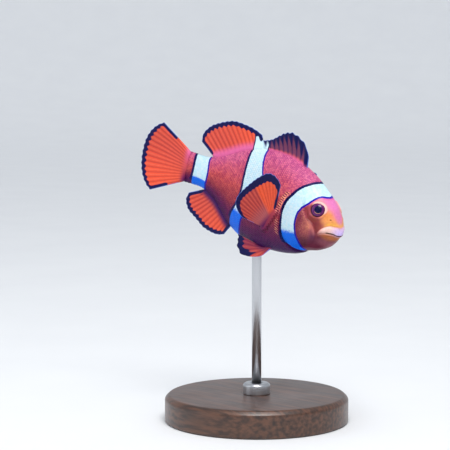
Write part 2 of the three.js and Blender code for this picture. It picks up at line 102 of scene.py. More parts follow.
def blend(first: Array | float, second: Array | float, share: Array) -> Array:
    """A straight mix from the first to the second."""
    return first + (second - first) * share


class SmoothCurve:
    """A curve through knots that never overshoots them (monotone cubic)."""

    def __init__(self, knots: Sequence[Sequence[float]]) -> None:
        """Works out the slope at each knot.

        Args:
            knots: pairs of place and height, in rising order of place.
        """
        table = np.array(knots, float)
        self.place, self.height = table[:, 0], table[:, 1]
        step = np.diff(self.place)
        slope = np.diff(self.height) / step
        tangent = np.zeros_like(self.place)
        before = 2 * step[1:] + step[:-1]
        after = step[1:] + 2 * step[:-1]
        level = slope[:-1] * slope[1:] <= 0
        safe = np.where(level, 1.0, slope[:-1]), np.where(level, 1.0, slope[1:])
        tangent[1:-1] = np.where(level, 0.0, (before + after) / (before / safe[0] + after / safe[1]))
        tangent[0] = self._end(step[0], step[1], slope[0], slope[1])
        tangent[-1] = self._end(step[-1], step[-2], slope[-1], slope[-2])
        self.step, self.tangent = step, tangent

    @staticmethod
    def _end(width: float, next_width: float, slope: float, next_slope: float) -> float:
        """The slope at an end knot.

        Args:
            width: length of the end step.
            next_width: length of the next.
            slope: slope of the end step.
            next_slope: slope of the next.

        Returns:
            The slope.
        """
        tangent = ((2 * width + next_width) * slope - width * next_slope) / (width + next_width)
        if tangent * slope <= 0:
            return 0.0
        if slope * next_slope <= 0 and abs(tangent) > 3 * abs(slope):
            return 3 * slope
        return tangent

    def __call__(self, at: Array) -> Array:
        """The curve's height at each place; past its ends it keeps its last height."""
        value = np.clip(at, self.place[0], self.place[-1])
        i = np.clip(np.searchsorted(self.place, value, side="right") - 1, 0, len(self.step) - 1)
        t = (value - self.place[i]) / self.step[i]
        rise = self.step[i] * self.tangent[i], self.step[i] * self.tangent[i + 1]
        return (2 * t**3 - 3 * t**2 + 1) * self.height[i] + (
            t**3 - 2 * t**2 + t
        ) * rise[0] + (3 * t**2 - 2 * t**3) * self.height[i + 1] + (t**3 - t**2) * rise[1]


def soft_line(points: Sequence[Pair], steps: int = 48) -> Array:
    """A smooth line through a few points of the flank.

    Args:
        points: pairs of station and height.
        steps: how many stretches the line has.

    Returns:
        The line's points, one per row.
    """
    knots = np.array(points, float)
    knots = np.vstack([2 * knots[0] - knots[1], knots, 2 * knots[-1] - knots[-2]])
    along = np.linspace(0, len(points) - 1, steps + 1)
    i = np.minimum(along.astype(int), len(points) - 2)
    t = (along - i)[:, None]
    a, b, c, d = (knots[i + k] for k in range(4))
    return 0.5 * (
        2 * b + (c - a) * t + (2 * a - 5 * b + 4 * c - d) * t**2 + (3 * b - a - 3 * c + d) * t**3
    )


def line_distance(points: Array, line: Array) -> tuple[Array, Array]:
    """How far points are from a line of straight stretches.

    Args:
        points: the points, in as many dimensions as the line.
        line: the line's points.

    Returns:
        The distance of each point, and its side of a flat line, positive to the line's left.
    """
    start, stretch = line[:-1], np.diff(line, axis=0)
    nearest = np.full(len(points), np.inf)
    side = np.zeros(len(points))
    length = (stretch**2).sum(1)
    for k in range(len(start)):
        offset = points - start[k]
        share = np.clip((offset @ stretch[k]) / max(length[k], 1e-18), 0, 1)
        gap = ((offset - share[:, None] * stretch[k]) ** 2).sum(1)
        closer = gap < nearest
        nearest = np.where(closer, gap, nearest)
        if points.shape[1] == 2:
            turn = stretch[k, 0] * offset[:, 1] - stretch[k, 1] * offset[:, 0]
            side = np.where(closer, np.sign(turn), side)
    return np.sqrt(nearest), side


def inside(points: Array, outline: Array) -> Array:
    """Whether points lie inside a closed outline.

    Args:
        points: flat points, one per row.
        outline: the outline's corners in order.

    Returns:
        True for each point inside.
    """
    within = np.zeros(len(points), bool)
    for start, end in zip(outline, np.roll(outline, -1, axis=0)):
        level = (start[1] > points[:, 1]) != (end[1] > points[:, 1])
        if start[1] == end[1]:
            continue
        crossing = start[0] + (points[:, 1] - start[1]) * (end[0] - start[0]) / (end[1] - start[1])
        within ^= level & (points[:, 0] < crossing)
    return within


# ---- the fish's form


SECTIONS = (
    # station, back, belly, half width, height at which it is widest
    (0.012, 0.043, -0.038, 0.033, 0.003),
    (0.04, 0.092, -0.068, 0.059, 0.008),
    (0.1, 0.144, -0.11, 0.084, 0.018),
    (0.16, 0.182, -0.1345, 0.096, 0.022),
    (0.24, 0.228, -0.18, 0.106, 0.025),
    (0.33, 0.262, -0.208, 0.108, 0.027),
    (0.43, 0.277, -0.2225, 0.103, 0.028),
    (0.55, 0.264, -0.227, 0.088, 0.028),
    (0.67, 0.222, -0.188, 0.068, 0.029),
    (0.8, 0.15, -0.088, 0.045, 0.028),
    (0.9, 0.11, -0.054, 0.03, 0.026),
    (1.0, 0.107, -0.058, 0.018, 0.025),
    (1.03, 0.1, -0.052, 0.01, 0.025),
)
BODY_END = 1.03
FULLNESS_ABOVE = ((0, 0.83), (0.12, 0.78), (0.25, 0.92), (0.36, 1.1), (0.5, 1.2), (1, 1.1))
FULLNESS_BELOW = ((0, 0.95), (0.15, 0.9), (0.3, 0.9), (0.5, 0.95), (0.7, 1.15), (1, 1.1))


class Body:
    """The smooth straight body, before lips, folds and scales."""

    def __init__(self) -> None:
        """Draws the section curves against the root of the station, which rounds the snout."""
        columns = [
            SmoothCurve([(0.0, 0.0), *((math.sqrt(row[0]), row[k]) for row in SECTIONS)])
            for k in range(1, 5)
        ]
        self.back, self.belly, self.half_width, self.widest = columns

    def point(self, station: Array, angle: Array) -> Array:
        """Points of the body.

        Args:
            station: share of the length behind the snout.
            angle: turn from the back down the right flank, in radians.

        Returns:
            The points, in metres.
        """
        root = np.sqrt(station)
        middle = self.widest(root)
        up, across = np.cos(angle), np.sin(angle)
        above = up >= 0
        reach = np.where(above, self.back(root) - middle, middle - self.belly(root))
        above_full, below_full = (np.interp(station, *zip(*k)) for k in (FULLNESS_ABOVE, FULLNESS_BELOW))
        full = np.where(above, above_full, below_full)  # under 1 is boxy and over 1 is thin
        width = self.half_width(root) * np.abs(across) ** full
        return np.stack([-station, -np.sign(across) * width, middle + reach * up], -1) * LENGTH

    def normal(self, station: Array, angle: Array) -> Array:
        """The body's outward direction at points of it."""
        return unit(np.cross(self.tailward(station, angle), self.round(station, angle)))

    def tailward(self, station: Array, angle: Array) -> Array:
        """The direction along the body towards the tail."""
        small = 1e-3
        near = np.maximum(station, 2 * small)
        return unit(self.point(near + small, angle) - self.point(near - small, angle))

    def round(self, station: Array, angle: Array) -> Array:
        """The direction round the body, from the back down the right flank."""
        small = 1e-3
        near = np.maximum(station, 2 * small)
        return unit(self.point(near, angle + small) - self.point(near, angle - small))

    def angle_at(self, station: Array, height: Array) -> Array:
        """The angle at which the right flank has a height; past the edge, that of the edge."""
        root = np.sqrt(station)
        middle = self.widest(root)
        above = height >= middle
        reach = np.where(above, self.back(root) - middle, middle - self.belly(root))
        return np.arccos(np.clip((height - middle) / reach, -1, 1))

    def on_flank(self, line: Array) -> Array:
        """The right flank's points under a line of stations and heights."""
        return self.point(line[:, 0], self.angle_at(line[:, 0], line[:, 1]))


@dataclass(frozen=True)
class EyePlace:
    """Where the eyeballs sit, and how big they are."""

    station: float = 0.1175
    height: float = 0.099
    radius: float = 0.0362
    depth: float = 0.0215
    sink: float = 0.0105
    opening: float = 0.0352  # radius of the eyeball that shows
    lid: float = 0.5  # how much of its upper part the lid covers
    lid_back: float = 0.29  # how far the lid leans back from upright

    def frame(self, body: Body) -> tuple[Array, Array]:
        """The right eyeball's centre and the direction that it looks in.

        Args:
            body: the body that it sits in.

        Returns:
            The centre in metres, and the direction.
        """
        station = np.array(self.station)
        angle = body.angle_at(station, np.array(self.height))
        outwards = body.normal(station, angle)
        return body.point(station, angle) - outwards * self.sink * LENGTH, outwards


EYE = EyePlace()


@dataclass(frozen=True)
class Pose:
    """How the straight fish is curved, tipped and lifted."""

    curve_radius: float = 0.166
    curve_start: float = 0.3 * LENGTH
    nose_down: float = math.radians(16.7)
    snout: Triple = (0.031, 0.0, 0.0565)

    def place(self, points: Array) -> Array:
        """Moves points of the straight fish to where they are shown.

        Args:
            points: points in metres, in the straight fish's frame.

        Returns:
            The points in the frame of the solids.
        """
        behind = np.maximum(-points[:, 0] - self.curve_start, 0)
        turn = -behind / self.curve_radius
        ahead = np.where(behind > 0, -self.curve_start, points[:, 0])
        x = ahead + (self.curve_radius + points[:, 1]) * np.sin(turn)
        y = -self.curve_radius * (1 - np.cos(turn)) + points[:, 1] * np.cos(turn)
        z = points[:, 2]
        cos, sin = math.cos(self.nose_down), math.sin(self.nose_down)
        return np.stack([x * cos + z * sin, y, z * cos - x * sin], -1) + np.array(self.snout)


POSE = Pose()


# ---- lines of the flank


MOUTH_LINE = (
    (-0.03, -0.002), (0.0, -0.002), (0.022, 0.006), (0.046, 0.005), (0.072, -0.006), (0.09, -0.022)
)
LIP_TOP_LINE = (
    (-0.03, 0.006), (0.003, 0.021), (0.007, 0.031), (0.0145, 0.0385), (0.034, 0.0405), (0.058, 0.028),
    (0.078, 0.007), (0.089, -0.012)
)
CHEEK_RIDGE = (
    (0.178, 0.074), (0.165, 0.057), (0.148, 0.039), (0.12, 0.027), (0.102, 0.007), (0.093, -0.02),
    (0.1, -0.056), (0.124, -0.09), (0.165, -0.113)
)
GILL_EDGE = (
    (0.262, 0.15), (0.288, 0.11), (0.304, 0.06), (0.312, 0.01), (0.308, -0.045), (0.288, -0.095),
    (0.25, -0.13), (0.2, -0.15), (0.15, -0.15)
)
PECTORAL_ROOT = ((0.344, 0.019), (0.411, -0.093))
NOSTRIL = (0.046, 0.068)


@dataclass(frozen=True)
class Bar:
    """A white bar across the flank, between a front and a rear border, from back to belly."""

    front: tuple[Pair, ...]
    rear: tuple[Pair, ...]

    def outline(self) -> Array:
        """The bar's closed outline over the flank."""
        return np.vstack([soft_line(self.front), soft_line(self.rear)[::-1]])


HEAD_BAR = Bar(
    front=(
        (0.096, 0.17), (0.104, 0.16), (0.112, 0.1575), (0.12, 0.1578), (0.127, 0.159),
        (0.134, 0.1597), (0.143, 0.1555), (0.151, 0.1475), (0.163, 0.132), (0.176, 0.113),
        (0.194, 0.093), (0.204, 0.074), (0.213, 0.056), (0.217, 0.037), (0.218, 0.018),
        (0.218, -0.008), (0.213, -0.031), (0.205, -0.061), (0.192, -0.087), (0.183, -0.105),
        (0.175, -0.124), (0.167, -0.131),
    ),
    rear=(
        (0.172, 0.22), (0.181, 0.199), (0.192, 0.201), (0.209, 0.188), (0.231, 0.169),
        (0.252, 0.143), (0.269, 0.113), (0.286, 0.082), (0.293, 0.053), (0.296, 0.02),
        (0.293, -0.015), (0.29, -0.044), (0.286, -0.068), (0.277, -0.098), (0.262, -0.117),
        (0.236, -0.127), (0.212, -0.136), (0.19, -0.14), (0.168, -0.134),
    ),
)
MIDDLE_BAR = Bar(
    front=(
        (0.556, 0.4), (0.548, 0.3), (0.54, 0.24), (0.515, 0.18), (0.478, 0.115), (0.462, 0.06),
        (0.47, 0.01), (0.524, -0.05), (0.57, -0.1), (0.584, -0.16), (0.592, -0.22), (0.594, -0.3)
    ),
    rear=(
        (0.668, 0.4), (0.64, 0.31), (0.626, 0.24), (0.612, 0.17), (0.602, 0.1), (0.596, 0.03),
        (0.612, -0.04), (0.642, -0.1), (0.658, -0.16), (0.662, -0.22), (0.664, -0.3)
    )
)
TAIL_BAR = Bar(
    front=((0.872, 0.2), (0.868, 0.11), (0.856, 0.06), (0.852, 0.02), (0.858, -0.03), (0.872, -0.12)),
    rear=((0.948, 0.2), (0.944, 0.11), (0.938, 0.06), (0.937, 0.01), (0.942, -0.03), (0.95, -0.12))
)
BARS = (HEAD_BAR, MIDDLE_BAR, TAIL_BAR)


class Fields:
    """What the finishes need to know at each point: how far it is from each marking.

    Every field is a number for each point of a mesh. Skin, scales and fins share the same fields,
    so that a marking runs on from one to the next.
    """

    FAR = 9.0  # millimetres at which a distance stops mattering

    def __init__(self, body: Body) -> None:
        """Lays each marking's lines on the right flank.

        Args:
            body: the body that carries the markings.
        """
        self.body = body
        self.mouth = SmoothCurve(MOUTH_LINE)
        self.lip_top = SmoothCurve(LIP_TOP_LINE)
        self.eye_centre, self.eye_out = EYE.frame(body)
        lid_up = np.array([-EYE.lid_back, 0.0, 1.0])
        self.lid_up = unit(lid_up - self.eye_out * (lid_up @ self.eye_out))

    def round_eye(self, points: Array) -> tuple[Array, Array, Array]:
        """Where points are about the eye of their own side.

        Args:
            points: points of the straight fish, in metres.

        Returns:
            How far they stand out along the eye's axis, how far they are from it, and the same
            distance drawn out where the lid comes down, all as shares of the length.
        """
        offset = (self.mirrored(points) - self.eye_centre) / LENGTH
        level = offset @ self.eye_out
        across = offset - level[:, None] * self.eye_out
        squared = (across**2).sum(1)
        lid = np.maximum(across @ self.lid_up, 0)
        return level, np.sqrt(squared), np.sqrt(squared + EYE.lid * lid**2)

    def flat(self, points: Array) -> Array:
        """Stations and heights of points of the straight fish."""
        return np.stack([-points[:, 0], points[:, 2]], -1) / LENGTH

    def mirrored(self, points: Array) -> Array:
        """The points, all brought to the right flank."""
        return points * [1, 0, 1] + np.abs(points[:, 1:2]) * [0, -1, 0]

    def on_body(self, border: Sequence[Pair]) -> Array:
        """A bar's border on the right flank, from the edge of the back to that of the belly."""
        line = soft_line(border)
        root = np.sqrt(line[:, 0])
        over_body = (line[:, 1] < self.body.back(root)) & (line[:, 1] > self.body.belly(root))
        first, last = np.flatnonzero(over_body)[[0, -1]]
        return self.body.on_flank(line[max(first - 1, 0) : last + 2])

    def bars(self, points: Array, on_fin: bool = False) -> dict[str, Array]:
        """Distance to the nearest bar, in millimetres and negative inside it.

        Args:
            points: points of the straight fish, in metres.
            on_fin: whether they lie on a fin of the back, which only the middle bar crosses.

        Returns:
            The distance as "bar", and as "bar_rear" how near the rear border is, from 0 to 1.
        """
        flat = self.flat(points)
        right = self.mirrored(points)
        best = np.full(len(points), self.FAR)
        rear_share = np.zeros(len(points))
        for bar in (MIDDLE_BAR,) if on_fin else BARS:
            gaps = []
            for border in (bar.front, bar.rear):
                if on_fin:
                    gap, _ = line_distance(flat, soft_line(border))
                    gaps.append(gap * LENGTH_MM)
                else:
                    gap, _ = line_distance(right, self.on_body(border))
                    gaps.append(gap / MM)
            nearest = np.minimum(*gaps)
            signed = np.where(inside(flat, bar.outline()), -nearest, nearest)
            closer = signed < best
            best = np.where(closer, signed, best)
            rear_share = np.where(closer, (gaps[1] < gaps[0]).astype(float), rear_share)
        return {"bar": best, "bar_rear": rear_share}

    def body_places(self, points: Array) -> dict[str, Array]:
        """Where points are on the body: how high, how far back, and in which part of the face.

        Args:
            points: points of the straight fish, in metres.

        Returns:
            Fields named for what they measure, from 0 to 1 unless their name ends in _mm.
        """
        flat = self.flat(points)
        station, height = np.maximum(flat[:, 0], 0), flat[:, 1]
        root = np.sqrt(station)
        back, belly = self.body.back(root), self.body.belly(root)
        _, _, eye_gap = self.round_eye(points)
        # how far up and forward of the eye a point is: the side of the eye ring that gets the painted
        # highlight
        before_eye = (height - EYE.height - 0.45 * (station - EYE.station)) / EYE.radius
        lip = self.lip_share(station, height)
        border = soft_line(HEAD_BAR.front)
        in_front, _ = line_distance(flat, border)
        high, low = border[0, 0], border[-1, 0]
        behind = np.vstack([border, [[low, -1.0], [2.0, -1.0], [2.0, 1.0], [high, 1.0]]])
        face = ~inside(flat, behind)
        ridge, side = line_distance(flat, soft_line(CHEEK_RIDGE))
        ridge = np.where(side > 0, ridge, -ridge) * LENGTH_MM
        gill, gill_side = line_distance(flat, soft_line(GILL_EDGE))
        gill = np.where(gill_side > 0, gill, -gill) * LENGTH_MM
        return {
            "height": (height - belly) / np.maximum(back - belly, 1e-6), "station": station,
            "level": height,
            "over_lip_mm": np.clip((height - self.lip_top(station)) * LENGTH_MM, -self.FAR, self.FAR),
            "face": np.where(face, smooth_step(0.0, 0.03, in_front), 0.0),
            "eye_mm": np.clip((eye_gap - EYE.opening) * LENGTH_MM, -3, self.FAR),
            "eye_front": np.clip(before_eye, -1.5, 1.5) * 0.5 + 0.5, "lip": lip,
            "mouth_mm": self.mouth_gap(station, height),
            "ridge_mm": np.clip(ridge, -self.FAR, self.FAR),
            "gill_mm": np.clip(gill, -self.FAR, self.FAR),
            "nostril_mm": np.minimum(
                np.hypot(station - NOSTRIL[0], height - NOSTRIL[1]) * LENGTH_MM, self.FAR
            )
        }

    def lip_share(self, station: Array, height: Array) -> Array:
        """How much a point belongs to the lips, from 0 to 1."""
        mouth, top = self.mouth(station), self.lip_top(station)
        upper = (height - mouth) / np.maximum(top - mouth, 1e-4)
        lower = (mouth - height) / 0.013
        fade = smooth_step(0.1, 0.066, station)
        above = smooth_step(1.15, 0.8, upper) * (upper >= 0)
        below = smooth_step(1.0, 0.3, lower) * (upper < 0) * 0.35
        return (above + below) * fade

    def mouth_gap(self, station: Array, height: Array) -> Array:
        """Distance to the slit between the lips, in millimetres."""
        past = np.maximum(station - 0.046, 0)
        gap = np.hypot(height - self.mouth(station), 1.5 * past)
        return np.minimum(gap * LENGTH_MM, self.FAR)


class Relief:
    """How far the skin stands out of the smooth body or lies below it."""

    INSET = 0.13  # the coat's depth, in millimetres
    LIP_SWELL = 0.5
    LOWER_LIP = 0.3
    CHIN_TUCK = 0.45
    SLIT_DEPTH = 0.34
    SLIT_WIDTH = 0.1
    LIP_CORNER = 0.088  # station at which the lips end
    LOWER_LIP_SPAN = 0.022  # how far the lower lip reaches below the slit
    CORNER_FOLD = (0.09, -0.018)
    THROAT_FOLD = 0.021  # from one fold under the chin to the next
    RIDGE_STEP = 0.26
    GILL_STEP = 0.3
    RING_LIFT = 0.0075  # the most that the ring round the eye stands over the head, of the length

    def __init__(self, fields: Fields) -> None:
        """Keeps the fields whose lines the relief follows."""
        self.fields = fields

    def lips(self, station: Array, height: Array) -> Array:
        """The rolls of the lips and the slit between them.

        Args:
            station: the points' stations.
            height: their heights.

        Returns:
            The relief in millimetres.
        """
        mouth, top = self.fields.mouth(station), self.fields.lip_top(station)
        fade = np.sqrt(np.clip(1 - (station / self.LIP_CORNER) ** 3, 0, 1))
        upper = np.clip((height - mouth) / np.maximum(top - mouth, 1e-4), 0, 1)
        lower = np.clip((mouth - height) / self.LOWER_LIP_SPAN, 0, 1)
        front = 0.1 + 0.9 * smooth_step(0.0, 0.045, station)
        roll = self.LIP_SWELL * fade * front * np.sin(np.pi * upper) ** 0.7
        chin = self.LOWER_LIP * fade * front * np.sin(np.pi * lower) ** 0.7
        slit = bell(self.fields.mouth_gap(station, height), self.SLIT_WIDTH)
        crease = bell((height - top) * LENGTH_MM, 0.16) * fade * (station < self.LIP_CORNER)
        from_corner = np.hypot(station - self.CORNER_FOLD[0], height - self.CORNER_FOLD[1])
        corner_fold = bell(from_corner * LENGTH_MM, 0.35)
        tuck = self.CHIN_TUCK * smooth_step(0.055, 0.01, station) * smooth_step(0.0, -0.02, height)
        return roll + chin - tuck - self.SLIT_DEPTH * slit - 0.1 * crease - 0.12 * corner_fold

    def nostril(self, gap: Array) -> Array:
        """A small pit with a raised rim, by the distance from its middle."""
        return 0.07 * bell(gap - 0.34, 0.12) - 0.3 * bell(gap, 0.17)

    def cheek(self, gap: Array, station: Array, height: Array) -> Array:
        """The step at the cheek's ridge.

        Args:
            gap: millimetres behind the ridge.
            station: the points' stations.
            height: their heights.

        Returns:
            The relief in millimetres.
        """
        behind = smooth_step(-0.22, 0.1, gap) * np.exp(-np.maximum(gap, 0) / 2.6)
        hollow = smooth_step(-3.0, -0.1, gap) * smooth_step(0.25, -0.2, gap)
        there = smooth_step(0.07, 0.1, station) * smooth_step(0.25, 0.17, station)
        there = there * smooth_step(-0.09, -0.02, height)
        return (self.RIDGE_STEP * behind - 0.2 * hollow) * there

    def gill(self, gap: Array, station: Array, height: Array) -> Array:
        """The gill cover's rear edge and the groove behind it.

        Args:
            gap: millimetres in front of the edge.
            station: the points' stations.
            height: their heights.

        Returns:
            The relief in millimetres.
        """
        cover = smooth_step(-0.18, 0.12, gap) * np.exp(-np.maximum(gap, 0) / 2.4)
        groove = bell(gap + 0.3, 0.28)
        there = smooth_step(0.16, 0.1, height) * smooth_step(0.13, 0.2, station)
        return (self.GILL_STEP * cover - 0.22 * groove) * there

    def pectoral_base(self, flat: Array) -> Array:
        """The fleshy swelling that the pectoral fin grows from."""
        gap, _ = line_distance(flat, np.array(PECTORAL_ROOT, float))
        return 0.45 * smooth_step(2.0, 0.2, gap * LENGTH_MM)

    def throat(self, station: Array, height: Array) -> Array:
        """Low folds that run back under the chin."""
        under = smooth_step(-0.07, -0.12, height) * smooth_step(0.26, 0.18, station)
        folds = np.sin((height + 0.35 * station) * 2 * np.pi / self.THROAT_FOLD)
        return 0.05 * folds * under * smooth_step(0.05, 0.1, station)

    def apply(self, station: Array, angle: Array) -> Array:
        """The skin's points, with every relief but the eye's.

        Args:
            station: the points' stations.
            angle: their angles.

        Returns:
            The points in metres.
        """
        body = self.fields.body
        points = body.point(station, angle)
        flat = self.fields.flat(points)
        height = flat[:, 1]
        places = self.fields.body_places(points)
        relief = (
            self.lips(station, height)
            + self.nostril(places["nostril_mm"])
            + self.cheek(places["ridge_mm"], station, height)
            + self.gill(places["gill_mm"], station, height)
            + self.pectoral_base(flat)
            + self.throat(station, height)
            - self.INSET * smooth_step(0.1, 0.3, station)
            - 0.05
        )
        points = points + body.normal(station, angle) * (relief * MM)[:, None]
        return self.socket(points)

    def socket(self, points: Array) -> Array:
        """Sinks the skin under each eyeball and raises a soft ring round it.

        Args:
            points: the skin's points.

        Returns:
            The points with both sockets.
        """
        level, true_radial, radial = self.fields.round_eye(points)
        ball = EYE.depth * np.sqrt(1 - np.clip(true_radial / EYE.radius, 0, 0.999) ** 2)
        meet = EYE.depth * math.sqrt(1 - (EYE.opening / EYE.radius) ** 2)
        crest = EYE.opening + 0.0062
        rise = smooth_step(EYE.opening - 0.002, crest, radial)
        ring = blend(meet - 0.003, EYE.sink + 0.0026, rise)
        ring = np.minimum(ring, np.maximum(level + self.RING_LIFT, meet - 0.003))
        over_ball = blend(ball - 0.004, ball + 0.0022, smooth_step(-0.001, 0.0015, radial - EYE.opening))
        ring = np.where(true_radial < EYE.radius, np.maximum(ring, over_ball), ring)
        target = np.where(radial < EYE.opening - 0.002, np.minimum(ball - 0.006, meet - 0.003), ring)
        hold = smooth_step(crest + 0.014, crest + 0.001, radial) * (level > -0.03)
        groove = -0.0016 * bell(radial - crest - 0.0085, 0.0035)
        move = ((target - level) * hold + groove) * (level > -0.03) * (radial < 0.08)
        flip = np.where(points[:, 1] > 0, -1.0, 1.0)
        sides = np.stack([np.ones_like(flip), flip, np.ones_like(flip)], -1)
        return points + (move * LENGTH)[:, None] * self.fields.eye_out * sides


# ---- meshes and pieces


def make_mesh(name: str, points: Array, faces: Sequence[Sequence[int]]) -> Mesh:
    """A smooth-shaded mesh.

    Args:
        name: the mesh's name.
        points: its vertices in metres.
        faces: the vertices of each face, facing outwards.

    Returns:
        The mesh.
    """
    mesh = bpy.data.meshes.new(name)
    mesh.from_pydata(points.tolist(), [], [list(face) for face in faces])
    mesh.polygons.foreach_set("use_smooth", np.ones(len(mesh.polygons), bool))
    mesh.update()
    return mesh


def turns(count: int) -> Array:
    """Angles evenly round a circle, in radians."""
    return 2 * np.pi * np.arange(count) / count


def ring_faces(rings: int, sides: int, closed: bool = True) -> list[list[int]]:
    """Faces over rings of points that follow a first point.

    Args:
        rings: number of rings.
        sides: points of each ring.
        closed: whether the last ring closes on a last point.

    Returns:
        Quads between the rings, and a fan at the first point and at the last.
    """
    side = np.arange(sides)
    after = (side + 1) % sides
    here = 1 + np.arange(rings - 1)[:, None] * sides
    quads = np.stack([here + side, here + sides + side, here + sides + after, here + after], -1)
    faces = [*quads.reshape(-1, 4).tolist(), *np.stack([0 * side, 1 + side, 1 + after], -1).tolist()]
    if closed:
        last = 1 + (rings - 1) * sides
        faces += np.stack([0 * side + last + sides, last + after, last + side], -1).tolist()
    return faces


def write_fields(mesh: Mesh, fields: dict[str, Array]) -> None:
    """Stores numbers on a mesh's vertices, for its finish to read.

    Args:
        mesh: the mesh.
        fields: a number for each vertex, by the field's name.
    """
    for name, values in fields.items():
        layer = mesh.attributes.get(name) or mesh.attributes.new(name, "FLOAT", "POINT")
        layer.data.foreach_set("value", np.asarray(values, np.float32))


def vertices_of(mesh: Mesh) -> Array:
    """A mesh's vertices, one per row."""
    flat = np.zeros(len(mesh.vertices) * 3, np.float32)
    mesh.vertices.foreach_get("co", flat)
    return flat.reshape(-1, 3).astype(float)


def move_vertices(mesh: Mesh, points: Array) -> None:
    """Puts a mesh's vertices at new points."""
    mesh.vertices.foreach_set("co", points.astype(np.float32).ravel())
    mesh.update()


class Slot(Enum):
    """Names of material slots, which nothing in this script uses."""

    BODY = "body_skin"
    FIN = "fin_skin"
    EYE = "eye_gloss"
    WOOD = "stand_wood"
    STEEL = "stand_steel"


def show(
    name: str, mesh: Mesh, finish: Material, stands_for: Sequence[str]
) -> bpy.types.Object:
    """Adds a finished piece to the model.

    Args:
        name: the piece's name.
        mesh: its mesh, in place.
        finish: its material.
        stands_for: the solids that it replaces.

    Returns:
        The piece.
    """
    piece = bpy.data.objects.new(name, mesh)
    bpy.context.scene.collection.objects.link(piece)
    mesh.materials.clear()
    mesh.materials.append(finish)
    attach(piece, "root")
    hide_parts(*stands_for)
    triangles = sum(len(polygon.vertices) - 2 for polygon in mesh.polygons)
    LOG.info("%s: %d triangles", name, triangles)
    return piece


class Tree:
    """A tree of nodes, laid out by short calls."""

    def __init__(self, tree: bpy.types.NodeTree) -> None:
        """Keeps the tree."""
        self.tree = tree

    def fill(self, socket: Socket, value: object) -> None:
        """Links a socket to another or to an amount, or sets its value; None leaves it alone."""
        value = value.socket if isinstance(value, Amount) else value
        if isinstance(value, Socket):
            self.tree.links.new(value, socket)
        elif value is not None:
            socket.default_value = value

    def node(self, kind: str, links: dict[str | int, object] | None = None, **settings: object) -> Node:
        """Adds a node.

        Args:
            kind: the node's type.
            links: a socket or a value for each input, by its place, identifier or name.
            settings: the node's own settings.

        Returns:
            The node.
        """
        made = self.tree.nodes.new(kind)
        for name, value in settings.items():
            setattr(made, name, value)
        for key, value in (links or {}).items():
            named = (s for s in made.inputs if key in (s.identifier, s.name) and s.enabled)
            self.fill(made.inputs[key] if isinstance(key, int) else next(named), value)
        return made


class Growth(Tree):
    """A Geometry Nodes tree with named inputs, and the plain mesh that it makes."""

    def __init__(self, name: str, inputs: dict[str, tuple[str, object]]) -> None:
        """Starts a tree that takes a geometry and gives one.

        Args:
            name: the tree's name.
            inputs: the socket type and the usual value of each of its other inputs.
        """
        super().__init__(bpy.data.node_groups.new(name, "GeometryNodeTree"))
        sockets = self.tree.interface
        for way in ("INPUT", "OUTPUT"):
            sockets.new_socket("Geometry", in_out=way, socket_type="NodeSocketGeometry")
        for title, (kind, value) in inputs.items():
            socket = sockets.new_socket(title, in_out="INPUT", socket_type=f"NodeSocket{kind}")
            if value is not None:
                socket.default_value = value
        self.named = self.tree.nodes.new("NodeGroupInput").outputs
        self.exit = self.tree.nodes.new("NodeGroupOutput")

    def stored(self, name: str, kind: str) -> Socket:
        """One of the seed mesh's own fields, as FLOAT or FLOAT_VECTOR."""
        made = self.node("GeometryNodeInputNamedAttribute", {"Name": name}, data_type=kind)
        return made.outputs["Attribute"]

    def end(self, geometry: Socket) -> None:
        """Realizes what was made, dresses it and ends the tree."""
        whole = self.node("GeometryNodeRealizeInstances", {"Geometry": geometry}).outputs[0]
        dressed = {"Geometry": whole, "Material": self.named["Finish"]}
        self.fill(self.exit.inputs[0], self.node("GeometryNodeSetMaterial", dressed).outputs[0])

    def grow(self, seed_mesh: Mesh, values: dict[str, object]) -> Mesh:
        """Runs the tree on a mesh.

        Args:
            seed_mesh: what the tree works from.
            values: the named inputs' values.

        Returns:
            What it made, as a plain smooth-shaded mesh.
        """
        host = bpy.data.objects.new(seed_mesh.name, seed_mesh)
        bpy.context.scene.collection.objects.link(host)
        modifier = host.modifiers.new("growth", "NODES")
        modifier.node_group = self.tree
        for item in self.tree.interface.items_tree:
            if item.in_out == "INPUT" and item.name in values:
                modifier[item.identifier] = values[item.name]
        graph = bpy.context.evaluated_depsgraph_get()
        made = bpy.data.meshes.new_from_object(host.evaluated_get(graph))
        host.modifiers.remove(modifier)
        bpy.data.objects.remove(host)
        made.polygons.foreach_set("use_smooth", np.ones(len(made.polygons), bool))
        return made


# ---- finishes


def paint(red: int, green: int, blue: int) -> Colour:
    """A colour from its screen values of 0 to 255."""
    share = np.array([red, green, blue]) / 255
    linear = np.where(share <= 0.04045, share / 12.92, ((share + 0.055) / 1.055) ** 2.4)
    return (*linear.tolist(), 1.0)


class Amount:
    """A number or colour that a material's nodes work out; + - * and / add another node."""

    def __init__(self, dye: Dye, socket: Socket) -> None:
        """Keeps the material's nodes and the socket that gives the amount."""
        self.dye, self.socket = dye, socket

    def __add__(self, other: object) -> Amount:
        """The sum with another amount or a number."""
        return self.dye.maths("ADD", self, other)

    def __sub__(self, other: object) -> Amount:
        """What is left without the other."""
        return self.dye.maths("SUBTRACT", self, other)

    def __mul__(self, other: object) -> Amount:
        """The product with the other."""
        return self.dye.maths("MULTIPLY", self, other)

    def __truediv__(self, other: object) -> Amount:
        """The share of the other."""
        return self.dye.maths("DIVIDE", self, other)


